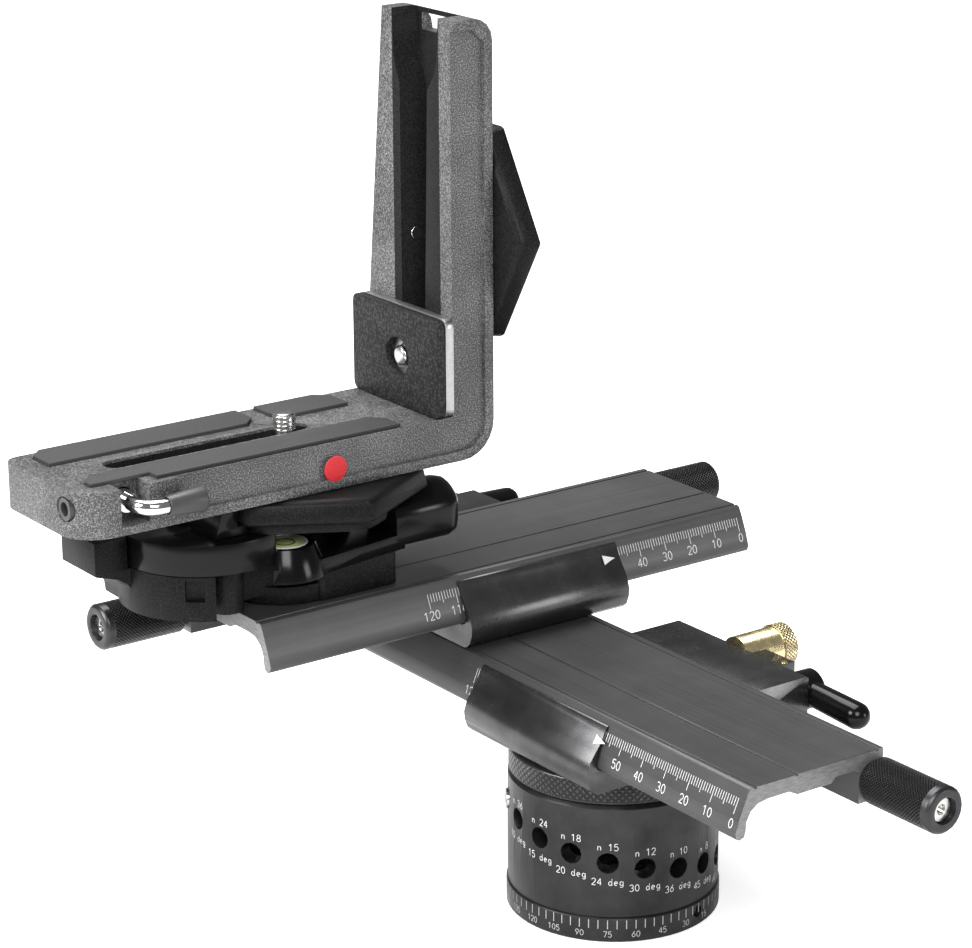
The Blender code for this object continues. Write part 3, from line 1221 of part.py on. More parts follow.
def strip_outlines():
    """Plan of each rubber strip on the foot of the bracket."""
    y = bracket_middle()
    slant = STRIP_WIDTH * 0.35
    left, right = LEG_LEFT + STRIP_WIDTH * 0.65, arm_inner() - STRIP_WIDTH * 1.55
    gap_left, gap_right = right - STRIP_WIDTH * 2.7, right - STRIP_WIDTH * 2.15
    inner, outer = STRIP_INSIDE, STRIP_INSIDE + STRIP_WIDTH
    pocket = POCKET_X + POCKET_WIDTH / 2 + slant
    front = [(left, y - inner - slant), (left + slant, y - inner), (right - slant, y - inner), (right, y - inner - slant),
             (right, y - outer), (pocket, y - outer), (pocket, y - outer + slant), (left, y - outer + slant)]
    edge = LEG_WIDTH / 2 - STRIP_EDGE
    rear = [(left, y + inner), (gap_left - slant, y + inner), (gap_left, y + inner + slant), (gap_left, y + edge),
            (left + slant, y + edge), (left, y + edge - slant)]
    short = [(gap_right, y + inner + slant), (gap_right + slant, y + inner), (right, y + inner),
             (right, y + edge - slant), (right - slant, y + edge), (gap_right, y + edge)]
    return front, rear, short


def strips(made):
    seat = LEG_TOP - STRIP_HEIGHT / 3
    for name, outline in zip(("front_strip", "rear_strip", "short_strip"), strip_outlines()):
        node(name, flat_between(outline, seat + TOUCH_GAP, seat + STRIP_HEIGHT), "rubber", "upper_plate")
        middle = sum((Vector(p) for p in outline), Vector((0, 0))) / len(outline)
        grown = []
        for p in outline:
            away = Vector(p) - middle
            grown.append((p[0] + math.copysign(TOUCH_GAP, away.x), p[1] + math.copysign(TOUCH_GAP, away.y)))
        cut(made, flat_between(grown, seat, LEG_TOP + CUT_OVERRUN))


def hex_plates():
    """Dovetail hexagons under the foot and behind the arm."""
    bottom = LEG_TOP - LEG_THICKNESS
    mid_y = bracket_middle()
    across = Vector((0, 1, 0))
    for name, at, out in (("lower_hexagon", Vector((HEX_X, mid_y, bottom)), Vector((0, 0, -1))),
                          ("rear_hexagon", Vector((LEG_RIGHT, mid_y, rear_hexagon_height())), Vector((1, 0, 0)))):
        cone = bmesh.new()
        bmesh.ops.create_cone(cone, cap_ends=True, segments=6, radius1=HEX_RADIUS - HEX_FLARE, radius2=HEX_RADIUS,
                              depth=HEX_THICKNESS)
        middle = at + out * (TOUCH_GAP + HEX_THICKNESS / 2)
        third = across.cross(out)
        turn = Matrix((third, across, out)).transposed().to_4x4()
        plate_made = node(name, placed(cone, Matrix.Translation(middle) @ turn), "cast", "upper_plate")
        bevel(plate_made, BRACKET_EDGE)


def camera_screw():
    """Screw that slides along the foot's slot, on a washer that carries it."""
    bottom = LEG_TOP - LEG_THICKNESS
    y = slot_y()
    x = CAMERA_SCREW_X
    head = SLOT_WIDTH / 2 + SLOT_SHOULDER - RUN_GAP * 2
    washer_low = bottom + SLOT_RECESS * 0.62
    profile = [(0, LEG_TOP + CAMERA_SCREW_PROUD), (CAMERA_SCREW_RADIUS * 0.8, LEG_TOP + CAMERA_SCREW_PROUD),
               (CAMERA_SCREW_RADIUS, LEG_TOP + CAMERA_SCREW_PROUD - CAMERA_SCREW_RADIUS * 0.2),
               (CAMERA_SCREW_RADIUS, washer_low - TOUCH_GAP), (head, washer_low - TOUCH_GAP),
               (head, bottom + TOUCH_GAP), (0, bottom + TOUCH_GAP)]
    node("camera_screw", turned_along(profile, (x, y, 0), (0, 0, 1)), "steel", "camera_screw")
    ring = washer(CAMERA_SCREW_RADIUS + TOUCH_GAP, head, washer_low, bottom + SLOT_RECESS - TOUCH_GAP)
    node("screw_washer", turned_along(ring, (x, y, 0), (0, 0, 1), closed=True), "steel", "screw_slider")


def plate_lock():
    """Cranked chrome lever that turns a lock screw in the foot's pocket."""
    y = LEG_NEAR + POCKET_DEPTH
    z = lock_height()
    radius = LOCK_ROD_RADIUS
    reach = LOCK_REACH
    path = [Vector((POCKET_X, y - TOUCH_GAP, z))]
    bend_x, bend_y = POCKET_X, LEG_NEAR - reach
    curve = CORNER_RADIUS * 0.55
    for a in range(0, 91, 15):
        path.append(Vector((bend_x + curve * (1 - math.cos(a * DEG)), bend_y + curve * (1 - math.sin(a * DEG)), z)))
    path.append(Vector((POCKET_X + LOCK_LENGTH, bend_y, z)))
    made = node("plate_lock_lever", tube_path(path, radius, sides=12), "steel", "plate_lock")
    fuse(made, rod((POCKET_X, y - LOCK_RADIUS, z), (POCKET_X, y + LOCK_GRIP - TOUCH_GAP, z), LOCK_RADIUS))
    start = POCKET_X + LOCK_LENGTH - LOCK_CAP * 0.55
    cap = node("plate_lock_cap", rod((start, bend_y, z), (start + LOCK_CAP, bend_y, z), radius * 1.25, radius * 1.75),
               "dark_plastic", "plate_lock")
    bevel(cap, radius * 0.2)
    cut(cap, rod((start - CUT_OVERRUN, bend_y, z), (POCKET_X + LOCK_LENGTH + TOUCH_GAP, bend_y, z),
                 radius + TOUCH_GAP))


def pad_height_range():
    low = LEG_TOP + TOUCH_GAP
    return low, low + PAD_HEIGHT


def camera_pad():
    low, high = pad_height_range()
    near, far = LEG_NEAR + TOUCH_GAP, LEG_NEAR + LEG_WIDTH + TOUCH_GAP
    y = slot_y()
    z = (low + high) / 2
    back = arm_inner() - TOUCH_GAP
    middle = back - PAD_PLATE_THICKNESS
    face = middle - TOUCH_GAP
    front = face - PAD_FACE_THICKNESS
    corners = rounded([(near, low), (far, low), (far, high), (near, high)], CORNER_RADIUS * 0.25)
    plate_made = node("pad_plate", across_x(corners, middle, back), "cut_metal", "camera_pad")
    face_made = node("pad_face", across_x(corners, front, face), "rubber", "camera_pad")
    cut(face_made, rod((front - CUT_OVERRUN, y, z), (face + CUT_OVERRUN, y, z), PAD_HOLE_RADIUS, sides=SMALL_ROUND * 2))
    cut(plate_made, rod((middle - CUT_OVERRUN, y, z), (back + CUT_OVERRUN, y, z), CAMERA_SCREW_RADIUS + TOUCH_GAP))
    head = ARM_SLOT_WIDTH / 2 - RUN_GAP
    head_start = back + PAD_HEAD_GAP
    length = head_start - front - PAD_FACE_THICKNESS * 0.25
    profile = [(0, length), (CAMERA_SCREW_RADIUS * 0.8, length),
               (CAMERA_SCREW_RADIUS, length - CAMERA_SCREW_RADIUS * 0.2), (CAMERA_SCREW_RADIUS, 0), (head, 0),
               (head, -PAD_HEAD), (0, -PAD_HEAD)]
    node("pad_screw", turned_along(profile, (head_start, y, z), (-1, 0, 0)), "steel", "pad_screw")


def build():
    clear_scene()
    make_collection(PARTS)
    make_collection(CUTTERS)
    body("root")
    body("pan", (0, 0, HEAD_SEAT), "root")
    body("lock_ring", (0, 0, DRUM_TOP), "pan")
    angle = (INDEX_START - INDEX_STEP) * DEG
    body("index_plunger", (DRUM_RADIUS * math.cos(angle), DRUM_RADIUS * math.sin(angle), INDEX_TOP + INDEX_PITCH), "pan")
    degree_ring()
    pan_shaft()
    index_wheel()
    pan_bush()
    index_drum()
    index_plunger()
    lock_ring()
    slide_unit("lower", LOWER_FRAME, "pan", LOWER_READING, 0)
    slide_unit("upper", UPPER_FRAME, "lower_plate", UPPER_READING, UPPER_SINK)
    lower = bpy.data.objects["lower_plate"]
    for where, x, y in carriage_screw_places():
        cut(lower, rod((x, y, CUT_OVERRUN), (x, y, -WEB_SKIN - CUT_OVERRUN), CAP_SHANK_RADIUS + TOUCH_GAP, sides=12),
            UPPER_FRAME)
    floor, low, high, seat = clamp_levels()
    flat = HEX_RADIUS * FLAT_SHARE
    body("clamp_lever", (CLAMP_X, UPPER_Y, low), "upper_plate")
    body("clamp_jaw", (HEX_X - flat, bracket_middle(), seat), "upper_plate")
    body("screw_slider", (CAMERA_SCREW_X, slot_y(), LEG_TOP), "upper_plate")
    body("camera_screw", (CAMERA_SCREW_X, slot_y(), LEG_TOP), "screw_slider")
    body("plate_lock", (POCKET_X, LEG_NEAR, lock_height()), "upper_plate")
    pad_low, pad_high = pad_height_range()
    body("camera_pad", (arm_inner(), slot_y(), pad_low), "upper_plate")
    body("pad_screw", (arm_inner(), slot_y(), (pad_low + pad_high) / 2), "camera_pad")
    clamp_body()
    clamp_lever()
    clamp_jaw()
    bracket()
    camera_screw()
    plate_lock()
    camera_pad()


build()
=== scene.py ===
"""Looks of the panoramic tripod head, in metres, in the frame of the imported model."""
import math

import bmesh
import bpy
from mathutils import Matrix, Vector

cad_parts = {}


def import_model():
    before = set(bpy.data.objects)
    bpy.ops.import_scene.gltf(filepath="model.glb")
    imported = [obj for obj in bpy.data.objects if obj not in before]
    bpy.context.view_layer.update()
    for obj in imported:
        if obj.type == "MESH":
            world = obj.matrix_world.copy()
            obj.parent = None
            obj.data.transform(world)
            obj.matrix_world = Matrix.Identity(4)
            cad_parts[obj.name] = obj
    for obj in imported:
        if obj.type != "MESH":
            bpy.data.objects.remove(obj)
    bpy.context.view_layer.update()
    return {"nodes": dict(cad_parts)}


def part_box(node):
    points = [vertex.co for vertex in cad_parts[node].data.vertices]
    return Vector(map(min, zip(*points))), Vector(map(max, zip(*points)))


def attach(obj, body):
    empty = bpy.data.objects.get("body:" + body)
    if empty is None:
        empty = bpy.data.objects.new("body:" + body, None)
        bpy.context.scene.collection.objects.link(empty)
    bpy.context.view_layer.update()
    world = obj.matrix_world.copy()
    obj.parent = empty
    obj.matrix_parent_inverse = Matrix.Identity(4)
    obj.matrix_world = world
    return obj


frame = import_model()
NODES = frame["nodes"]

MM = 0.001
DEG = math.pi / 180

# Places shared with the solids, with angles in degrees
LOWER_FRAME = Matrix.Translation((0, 0, 51.1 * MM))
UPPER_FRAME = Matrix.Translation((5.3 * MM, 70.6 * MM, 73.0 * MM)) @ Matrix.Rotation(90 * DEG, 4, "Z")
BASE_RADIUS = 32.0 * MM
DRUM_RADIUS = 31.6 * MM
LOCK_RING_RADIUS = 31.4 * MM
LOCK_RING_SPAN = (43.9 * MM, 50.0 * MM)
KNOB_RADIUS = 7.0 * MM
GRIP_SPAN = (-11.4 * MM, 12.9 * MM)
BRASS_INSETS = (5.4 * MM, 0.6 * MM)
INDEX_TOP = 31.2 * MM
INDEX_PITCH = 2.05 * MM
INDEX_START = 168.6
INDEX_STEP = 20.15
INDEX_COUNTS = (36, 24, 18, 15, 12, 10, 8, 6, 5, 4)
LIP_PATH = [(-26.0 * MM, 18.72 * MM), (-27.19 * MM, 16.0 * MM), (-28.35 * MM, 13.41 * MM),
            (-29.65 * MM, 9.4 * MM)]
JAW_PATH = [(-26.06 * MM, 19.98 * MM), (-27.22 * MM, 18.04 * MM), (-28.19 * MM, 15.9 * MM),
            (-29.81 * MM, 13.69 * MM), (-32.0 * MM, 10.6 * MM)]
# Boxes round the bracket's slots, where its coating gets painted shade
SHADED_SLOT_BOXES = [((-26.6 * MM, 50.2 * MM, 146.0 * MM), (-16.0 * MM, 73.8 * MM, 263.0 * MM)),
         ((-140.0 * MM, 58.5 * MM, 131.5 * MM), (-40.0 * MM, 70.5 * MM, 143.9 * MM))]

# How far paint stands off its surface
DRUM_LIFT = 0.04 * MM
LIP_LIFT = 0.07 * MM
JAW_LIFT = 0.25 * MM

# Edges
SMOOTH_ANGLE = 36 * DEG
BEVEL_ANGLE = 38 * DEG
WELD_GAP = 0.002 * MM
HOUSING_EDGE = 0.5 * MM
CAST_EDGE = 0.4 * MM
MOULDED_EDGE = 0.3 * MM
PLAIN_EDGE = 0.25 * MM
MACHINED_EDGE = 0.2 * MM
EXTRUDED_EDGE = 0.15 * MM
TURNED_EDGE = 0.1 * MM

# Noise scales, in waves to a metre
CAST_GRAIN = 2400
CAST_CLOUD = 60
LINES_ACROSS = 900.0
LINES_ALONG = 6.0
EXTRUSION_CLOUD = 35
SAW_STRETCH = (400, 400, 2200)
SATIN_CLOUD = 120
SATIN_GRAIN = 900
TOOL_MARKS = 700
KNURL_CLOUD = 500
RUBBER_SPECK = 1500
PAD_DOTS = 1100
INK_SPECK = 3000
LIQUID_CLOUD = 150

# Depths of bumps
CAST_DEPTH = 0.16 * MM
LINE_DEPTH = 0.02 * MM
SATIN_DEPTH = 0.03 * MM
TOOL_MARK_DEPTH = 0.02 * MM
RIB_DEPTH = 0.25 * MM
DOT_DEPTH = 0.2 * MM

# A sawn end faces this far along its axis, and a knurled rim starts at this share of its radius
END_FACING = 0.93
RIM_SHARE = 0.97

# Colour sockets of a mix node
MIX_FIRST = 6
MIX_SECOND = 7
MIX_RESULT = 2


# Node graphs

class Graph:
    """Short way to build a material's nodes."""

    def __init__(self, name):
        self.material = bpy.data.materials.new(name)
        self.material.use_nodes = True
        self.tree = self.material.node_tree
        self.shader = self.tree.nodes["Principled BSDF"]

    def add(self, kind, **settings):
        made = self.tree.nodes.new(kind)
        for key, value in settings.items():
            setattr(made, key, value)
        return made

    def link(self, source, target):
        self.tree.links.new(source, target)

    def set(self, name, value):
        self.shader.inputs[name].default_value = value

    def coords(self, scale=(1, 1, 1)):
        source = self.add("ShaderNodeTexCoord")
        mapping = self.add("ShaderNodeMapping")
        mapping.inputs["Scale"].default_value = scale
        self.link(source.outputs["Object"], mapping.inputs["Vector"])
        return mapping.outputs["Vector"]

    def noise(self, vector, scale, detail=2.0, rough=0.5):
        made = self.add("ShaderNodeTexNoise")
        made.inputs["Scale"].default_value = scale
        made.inputs["Detail"].default_value = detail
        made.inputs["Roughness"].default_value = rough
        self.link(vector, made.inputs["Vector"])
        return made.outputs["Fac"]

    def math(self, operation, a, b=None):
        made = self.add("ShaderNodeMath", operation=operation)
        for socket, value in zip(made.inputs, (a, b)):
            if value is None:
                continue
            if isinstance(value, (int, float)):
                socket.default_value = value
            else:
                self.link(value, socket)
        return made.outputs[0]

    def ramp(self, value, stops):
        made = self.add("ShaderNodeValToRGB")
        marks = made.color_ramp.elements
        while len(marks) < len(stops):
            marks.new(0.5)
        for mark, (place, colour) in zip(marks, stops):
            mark.position = place
            mark.color = (*colour, 1) if len(colour) == 3 else colour
        self.link(value, made.inputs["Fac"])
        return made.outputs["Color"]

    def range(self, value, low, high, start=0.0, end=1.0):
        made = self.add("ShaderNodeMapRange")
        made.inputs["From Min"].default_value = start
        made.inputs["From Max"].default_value = end
        made.inputs["To Min"].default_value = low
        made.inputs["To Max"].default_value = high
        self.link(value, made.inputs["Value"])
        return made.outputs["Result"]

    def between(self, value, low, high):
        """One where the value lies between two limits, else zero."""
        above = self.math("GREATER_THAN", value, low)
        below = self.math("LESS_THAN", value, high)
        return self.math("MULTIPLY", above, below)

    def split(self, vector):
        made = self.add("ShaderNodeSeparateXYZ")
        self.link(vector, made.inputs[0])
        return made.outputs

    def mix(self, share, first, second):
        made = self.add("ShaderNodeMix", data_type="RGBA")
        self.link(share, made.inputs[0])
        self.link(first, made.inputs[MIX_FIRST])
        self.link(second, made.inputs[MIX_SECOND])
        return made.outputs[MIX_RESULT]

    def bump(self, height, strength, distance):
        made = self.add("ShaderNodeBump")
        made.inputs["Strength"].default_value = strength
        made.inputs["Distance"].default_value = distance
        self.link(height, made.inputs["Height"])
        self.link(made.outputs["Normal"], self.shader.inputs["Normal"])


def grey(level):
    """Grey with a trace of blue."""
    return (level, level, level * 1.02)


def dimmed(colour, share):
    return tuple(c * share for c in colour)


# Materials

def cast_coating(name, levels, rough, bump=0.6, specular=0.6, shaded_slots=()):
    """Black coating with a pebbled grain of light and dark specks, with painted shade inside its slots:
    darker and less shiny there.
    """
    g = Graph(name)
    where = g.coords()
    fine = g.noise(where, CAST_GRAIN, 3, 0.65)
    broad = g.noise(where, CAST_CLOUD, 2)
    tone = g.math("ADD", g.math("MULTIPLY", fine, 0.88), g.math("MULTIPLY", broad, 0.12))
    dark, middle, light = levels
    colour = g.ramp(tone, [(0.4, grey(dark)), (0.5, grey(middle)), (0.62, grey(light))])
    # Painted shade: inside these boxes the grain turns nearly black and the shine drops, standing in for the
    # shade in the slots.
    if shaded_slots:
        place = g.split(where)
        slot_shade = None
        for low, high in shaded_slots:
            here = g.between(place[0], low[0], high[0])
            for axis in (1, 2):
                here = g.math("MULTIPLY", here, g.between(place[axis], low[axis], high[axis]))
            slot_shade = here if slot_shade is None else g.math("MAXIMUM", slot_shade, here)
        colour = g.mix(slot_shade, colour, g.ramp(fine, [(0.4, grey(0.004)), (0.65, grey(0.02))]))
        g.link(g.range(slot_shade, specular, 0.1), g.shader.inputs["Specular IOR Level"])
    else:
        g.set("Specular IOR Level", specular)
    g.link(colour, g.shader.inputs["Base Color"])
    g.link(g.range(fine, rough - 0.1, rough + 0.12), g.shader.inputs["Roughness"])
    g.bump(fine, bump, CAST_DEPTH)
    return g.material


def anodised(name, level, rough, axis):
    """Black anodised extrusion with faint lines along its length and paler sawn ends."""
    g = Graph(name)
    stretch = [LINES_ACROSS] * 3
    stretch[axis] = LINES_ALONG
    lines = g.noise(g.coords(stretch), 1.0, 3, 0.6)
    patch = g.noise(g.coords(), EXTRUSION_CLOUD, 3, 0.6)
    tone = g.math("ADD", g.math("MULTIPLY", lines, 0.5), g.math("MULTIPLY", patch, 0.5))
    skin = g.ramp(tone, [(0.3, grey(level * 0.75)), (0.7, grey(level * 1.3))])
    facing = g.split(g.add("ShaderNodeNewGeometry").outputs["Normal"])
    end = g.math("GREATER_THAN", g.math("ABSOLUTE", facing[axis]), END_FACING)
    saw = g.ramp(g.noise(g.coords(SAW_STRETCH), 1.0, 3), [(0.3, grey(0.13)), (0.7, grey(0.22))])
    g.link(g.mix(end, skin, saw), g.shader.inputs["Base Color"])
    g.link(g.range(tone, rough - 0.06, rough + 0.08), g.shader.inputs["Roughness"])
    g.set("Metallic", 0.35)
    g.bump(lines, 0.05, LINE_DEPTH)
    return g.material


def smooth_black(name, level, rough, metallic=0.0, specular=0.5):
    """Smooth black finish with faint cloudiness."""
    g = Graph(name)
    patch = g.noise(g.coords(), SATIN_CLOUD, 4, 0.6)
    colour = g.ramp(patch, [(0.3, grey(level * 0.8)), (0.7, grey(level * 1.25))])
    g.link(colour, g.shader.inputs["Base Color"])
    g.link(g.range(patch, rough * 0.93, rough * 1.07), g.shader.inputs["Roughness"])
    g.set("Metallic", metallic)
    g.set("Specular IOR Level", specular)
    g.bump(g.noise(g.coords(), SATIN_GRAIN, 2), 0.04, SATIN_DEPTH)
    return g.material


def bright_metal(name, colour, rough):
    """Turned metal with faint tool marks."""
    g = Graph(name)
    marks = g.noise(g.coords(), TOOL_MARKS, 3, 0.6)
    g.link(g.ramp(marks, [(0.3, dimmed(colour, 0.82)), (0.7, colour)]), g.shader.inputs["Base Color"])
    g.link(g.range(marks, rough * 0.7, rough * 1.4), g.shader.inputs["Roughness"])
    g.set("Metallic", 1.0)
    g.bump(marks, 0.06, TOOL_MARK_DEPTH)
    return g.material


def around_axis(g, centre, axis):
    """Angle about an axis through a point, distance along it, and distance from it."""
    move = g.add("ShaderNodeVectorMath", operation="SUBTRACT")
    g.link(g.add("ShaderNodeTexCoord").outputs["Object"], move.inputs[0])
    move.inputs[1].default_value = centre
    place = g.split(move.outputs[0])
    first, second = [place[i] for i in range(3) if i != axis]
    angle = g.math("ARCTAN2", first, second)
    squares = g.math("ADD", g.math("MULTIPLY", first, first), g.math("MULTIPLY", second, second))
    return angle, place[axis], g.math("SQRT", squares)


def knurled(name, colour, valley_shade_share, rough, metallic, centre, axis, count, radius, span, depth):
    """Turned piece whose rim has a diamond knurl over one span of its axis, with painted shade in the knurl's
    valleys.
    """
    g = Graph(name)
    angle, along, away = around_axis(g, centre, axis)
    turn = g.math("MULTIPLY", angle, float(count))
    slide = g.math("MULTIPLY", along, count / radius)
    first = g.math("SINE", g.math("ADD", turn, slide))
    second = g.math("SINE", g.math("SUBTRACT", turn, slide))
    diamond = g.range(g.math("MINIMUM", first, second), 0.0, 1.0, -1.0, 1.0)
    rim = g.math("GREATER_THAN", away, radius * RIM_SHARE)
    mask = g.math("MULTIPLY", rim, g.between(along, *span))
    height = g.math("MULTIPLY", diamond, mask)
    # Painted shade: the knurl's valleys are coloured darker than its crests.
    shade = g.ramp(height, [(0.1, dimmed(colour, valley_shade_share)), (0.75, colour)])
    cloud = g.noise(g.coords(), KNURL_CLOUD, 3)
    plain = g.ramp(cloud, [(0.3, dimmed(colour, 0.8)), (0.7, colour)])
    g.link(g.mix(mask, plain, shade), g.shader.inputs["Base Color"])
    g.link(g.range(cloud, rough * 0.8, rough * 1.3), g.shader.inputs["Roughness"])
    g.set("Metallic", metallic)
    g.bump(height, 1.0, depth)
    return g.material


def ribbed_rubber(pitch, axis):
    """Black rubber with fine ribs across one axis, painted darker in the rib valleys."""
    g = Graph("ribbed_rubber")
    place = g.split(g.add("ShaderNodeTexCoord").outputs["Object"])
    wave = g.math("SINE", g.math("MULTIPLY", place[axis], 2 * math.pi / pitch))
    speck = g.noise(g.coords(), RUBBER_SPECK, 2)
    height = g.math("ADD", g.range(wave, 0.0, 0.7, -1, 1), g.math("MULTIPLY", speck, 0.3))
    # Painted shade: the colour darkens into the rib valleys, and the specks add random tone.
    g.link(g.ramp(height, [(0.15, grey(0.011)), (0.85, grey(0.044))]), g.shader.inputs["Base Color"])
    g.link(g.range(speck, 0.55, 0.8), g.shader.inputs["Roughness"])
    g.bump(height, 0.7, RIB_DEPTH)
    return g.material


def pebbled_pad():
    """Pad face covered with small raised dots, painted darker in the hollows between them."""
    g = Graph("pebbled_pad")
    cells = g.add("ShaderNodeTexVoronoi")
    cells.inputs["Scale"].default_value = PAD_DOTS
    cells.inputs["Randomness"].default_value = 0.6
    g.link(g.coords((1, 1, 0.8)), cells.inputs["Vector"])
    height = g.math("SUBTRACT", 1.0, cells.outputs["Distance"])
    # Painted shade: the colour darkens in the hollows between the raised dots.
    g.link(g.ramp(height, [(0.35, grey(0.006)), (0.85, grey(0.035))]), g.shader.inputs["Base Color"])
    g.set("Specular IOR Level", 0.25)
    g.link(g.range(height, 0.7, 0.5), g.shader.inputs["Roughness"])
    g.bump(height, 0.6, DOT_DEPTH)
    return g.material


def ink(name, colour):
    """Matt paint with fine specks."""
    g = Graph(name)
    speck = g.noise(g.coords(), INK_SPECK, 2)
    g.link(g.ramp(speck, [(0.3, dimmed(colour, 0.75)), (0.6, colour)]), g.shader.inputs["Base Color"])
    g.link(g.range(speck, 0.5, 0.7), g.shader.inputs["Roughness"])
    return g.material


def vial_liquid():
    """Yellow-green liquid behind a clear gloss."""
    g = Graph("vial_liquid")
    cloud = g.noise(g.coords(), LIQUID_CLOUD, 2)
    colour = g.ramp(cloud, [(0.3, (0.62, 0.72, 0.22)), (0.7, (0.8, 0.88, 0.42))])
    g.link(colour, g.shader.inputs["Base Color"])
    g.set("Roughness", 0.08)
    g.set("Coat Weight", 0.6)
    return g.material


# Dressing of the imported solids

def soften_tree():
    """Modifier that shades a mesh smooth below an edge angle."""
    tree = bpy.data.node_groups.new("smooth_by_angle", "GeometryNodeTree")
    tree.interface.new_socket("Geometry", in_out="INPUT", socket_type="NodeSocketGeometry")
    tree.interface.new_socket("Geometry", in_out="OUTPUT", socket_type="NodeSocketGeometry")
    start = tree.nodes.new("NodeGroupInput")
    end = tree.nodes.new("NodeGroupOutput")
    angle = tree.nodes.new("GeometryNodeInputMeshEdgeAngle")
    limit = tree.nodes.new("FunctionNodeCompare")
    limit.data_type = "FLOAT"
    limit.operation = "LESS_EQUAL"
    limit.inputs[1].default_value = SMOOTH_ANGLE
    faces = tree.nodes.new("GeometryNodeSetShadeSmooth")
    faces.domain = "FACE"
    edges = tree.nodes.new("GeometryNodeSetShadeSmooth")
    edges.domain = "EDGE"
    tree.links.new(start.outputs[0], faces.inputs["Geometry"])
    tree.links.new(faces.outputs[0], edges.inputs["Geometry"])
    tree.links.new(angle.outputs["Unsigned Angle"], limit.inputs[0])
    tree.links.new(limit.outputs[0], edges.inputs["Shade Smooth"])
    tree.links.new(edges.outputs[0], end.inputs[0])
    return tree


SOFTEN = soften_tree()


def soften(obj, width, segments=2):
    """Welds the facets, shades them smooth and rounds the sharp edges a little."""
    weld = obj.modifiers.new("weld", "WELD")
    weld.merge_threshold = WELD_GAP
    if width:
        edge = obj.modifiers.new("edge", "BEVEL")
        edge.width = width
        edge.segments = segments
        edge.limit_method = "ANGLE"
        edge.angle_limit = BEVEL_ANGLE
        edge.use_clamp_overlap = True
    smooth = obj.modifiers.new("smooth", "NODES")
    smooth.node_group = SOFTEN


def dress(names, material, width=PLAIN_EDGE, segments=2):
    """Gives solids their material and soft edges."""
    for name in names:
        obj = NODES[name]
        obj.data.materials.clear()
        obj.data.materials.append(material)
        soften(obj, width, segments)


def both(*names):
    """Names of the same pieces on both slides."""
    return [side + "_" + name for side in ("lower", "upper") for name in names]


def middle_of(name):
    low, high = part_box(name)
    return tuple((a + b) / 2 for a, b in zip(low, high))


def length_of(name, axis):
    low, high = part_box(name)
    return high[axis] - low[axis]


def top_of(name, rise=0):
    """Point over the middle of a piece, at its top plus a rise."""
    x, y, _ = middle_of(name)
    return x, y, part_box(name)[1][2] + rise


BRACKET_COAT = cast_coating("grained_coating", levels=(0.01, 0.042, 0.2), rough=0.46, shaded_slots=SHADED_SLOT_BOXES)
HOUSING_COAT = cast_coating("housing_coating", levels=(0.002, 0.004, 0.014), rough=0.4, bump=0.4,
                            specular=0.12)
LOWER_COAT = anodised("stage_coat_lower", level=0.05, rough=0.38, axis=1)
UPPER_COAT = anodised("stage_coat_upper", level=0.06, rough=0.38, axis=0)
SATIN = smooth_black("satin_black", level=0.075, rough=0.27, metallic=0.9)
GLOSS = smooth_black("gloss_black", level=0.003, rough=0.18, specular=0.2)
DRUM_COAT = smooth_black("drum_coat", level=0.03, rough=0.33, metallic=0.75)
STEEL = bright_metal("turned_steel", (0.62, 0.62, 0.6), rough=0.22)
CHROME = bright_metal("chrome", (0.75, 0.75, 0.76), rough=0.1)
BRASS = bright_metal("turned_brass", (0.66, 0.5, 0.2), rough=0.25)
DARK_CAP = smooth_black("dark_cap", level=0.03, rough=0.4)
PAD_METAL = bright_metal("pad_metal", (0.5, 0.5, 0.5), rough=0.35)
RUBBER = ribbed_rubber(pitch=0.85 * MM, axis=1)
LOCK_KNURL = knurled("lock_ring_knurl", (0.06, 0.06, 0.062), valley_shade_share=0.2, rough=0.3, metallic=0.6,
                     centre=(0, 0, 0), axis=2, count=95, radius=LOCK_RING_RADIUS, span=LOCK_RING_SPAN,
                     depth=0.3 * MM)

dress(["bracket"], BRACKET_COAT, CAST_EDGE)
dress(["lower_hexagon", "rear_hexagon", "clamp_body"], HOUSING_COAT, HOUSING_EDGE)
dress(["lower_plate"], LOWER_COAT, EXTRUDED_EDGE, 1)
dress(["upper_plate"], UPPER_COAT, EXTRUDED_EDGE, 1)
dress(both("carriage"), SATIN, MACHINED_EDGE)
dress(both("lock_lever") + ["clamp_lever", "clamp_jaw"], GLOSS, MOULDED_EDGE)
dress(both("front_screw", "back_screw", "near_knob_screw", "far_knob_screw", "release_spring"), STEEL,
      TURNED_EDGE, 1)
dress(["clamp_screw", "clamp_pivot", "pad_screw", "camera_screw", "screw_washer", "pan_shaft", "shaft_nut",
       "index_wheel", "index_plunger"], STEEL, TURNED_EDGE, 1)
dress(["corner_insert", "ring_grub_screw"], DARK_CAP, TURNED_EDGE, 1)
dress(both("near_bush", "far_bush", "release_nut") + ["pan_bush", "tripod_bush"], BRASS, TURNED_EDGE, 1)
dress(["plate_lock_lever"], CHROME, 0)
dress(["plate_lock_cap"], DARK_CAP, MACHINED_EDGE)
dress(["index_drum", "degree_ring"], DRUM_COAT, MACHINED_EDGE)
dress(["front_strip", "rear_strip", "short_strip"], RUBBER, EXTRUDED_EDGE, 1)
dress(["pad_face"], pebbled_pad(), MOULDED_EDGE)
dress(["pad_plate"], PAD_METAL, MACHINED_EDGE)
dress(["level_vial"], vial_liquid(), MOULDED_EDGE)
dress(["lock_ring"], LOCK_KNURL, MACHINED_EDGE)

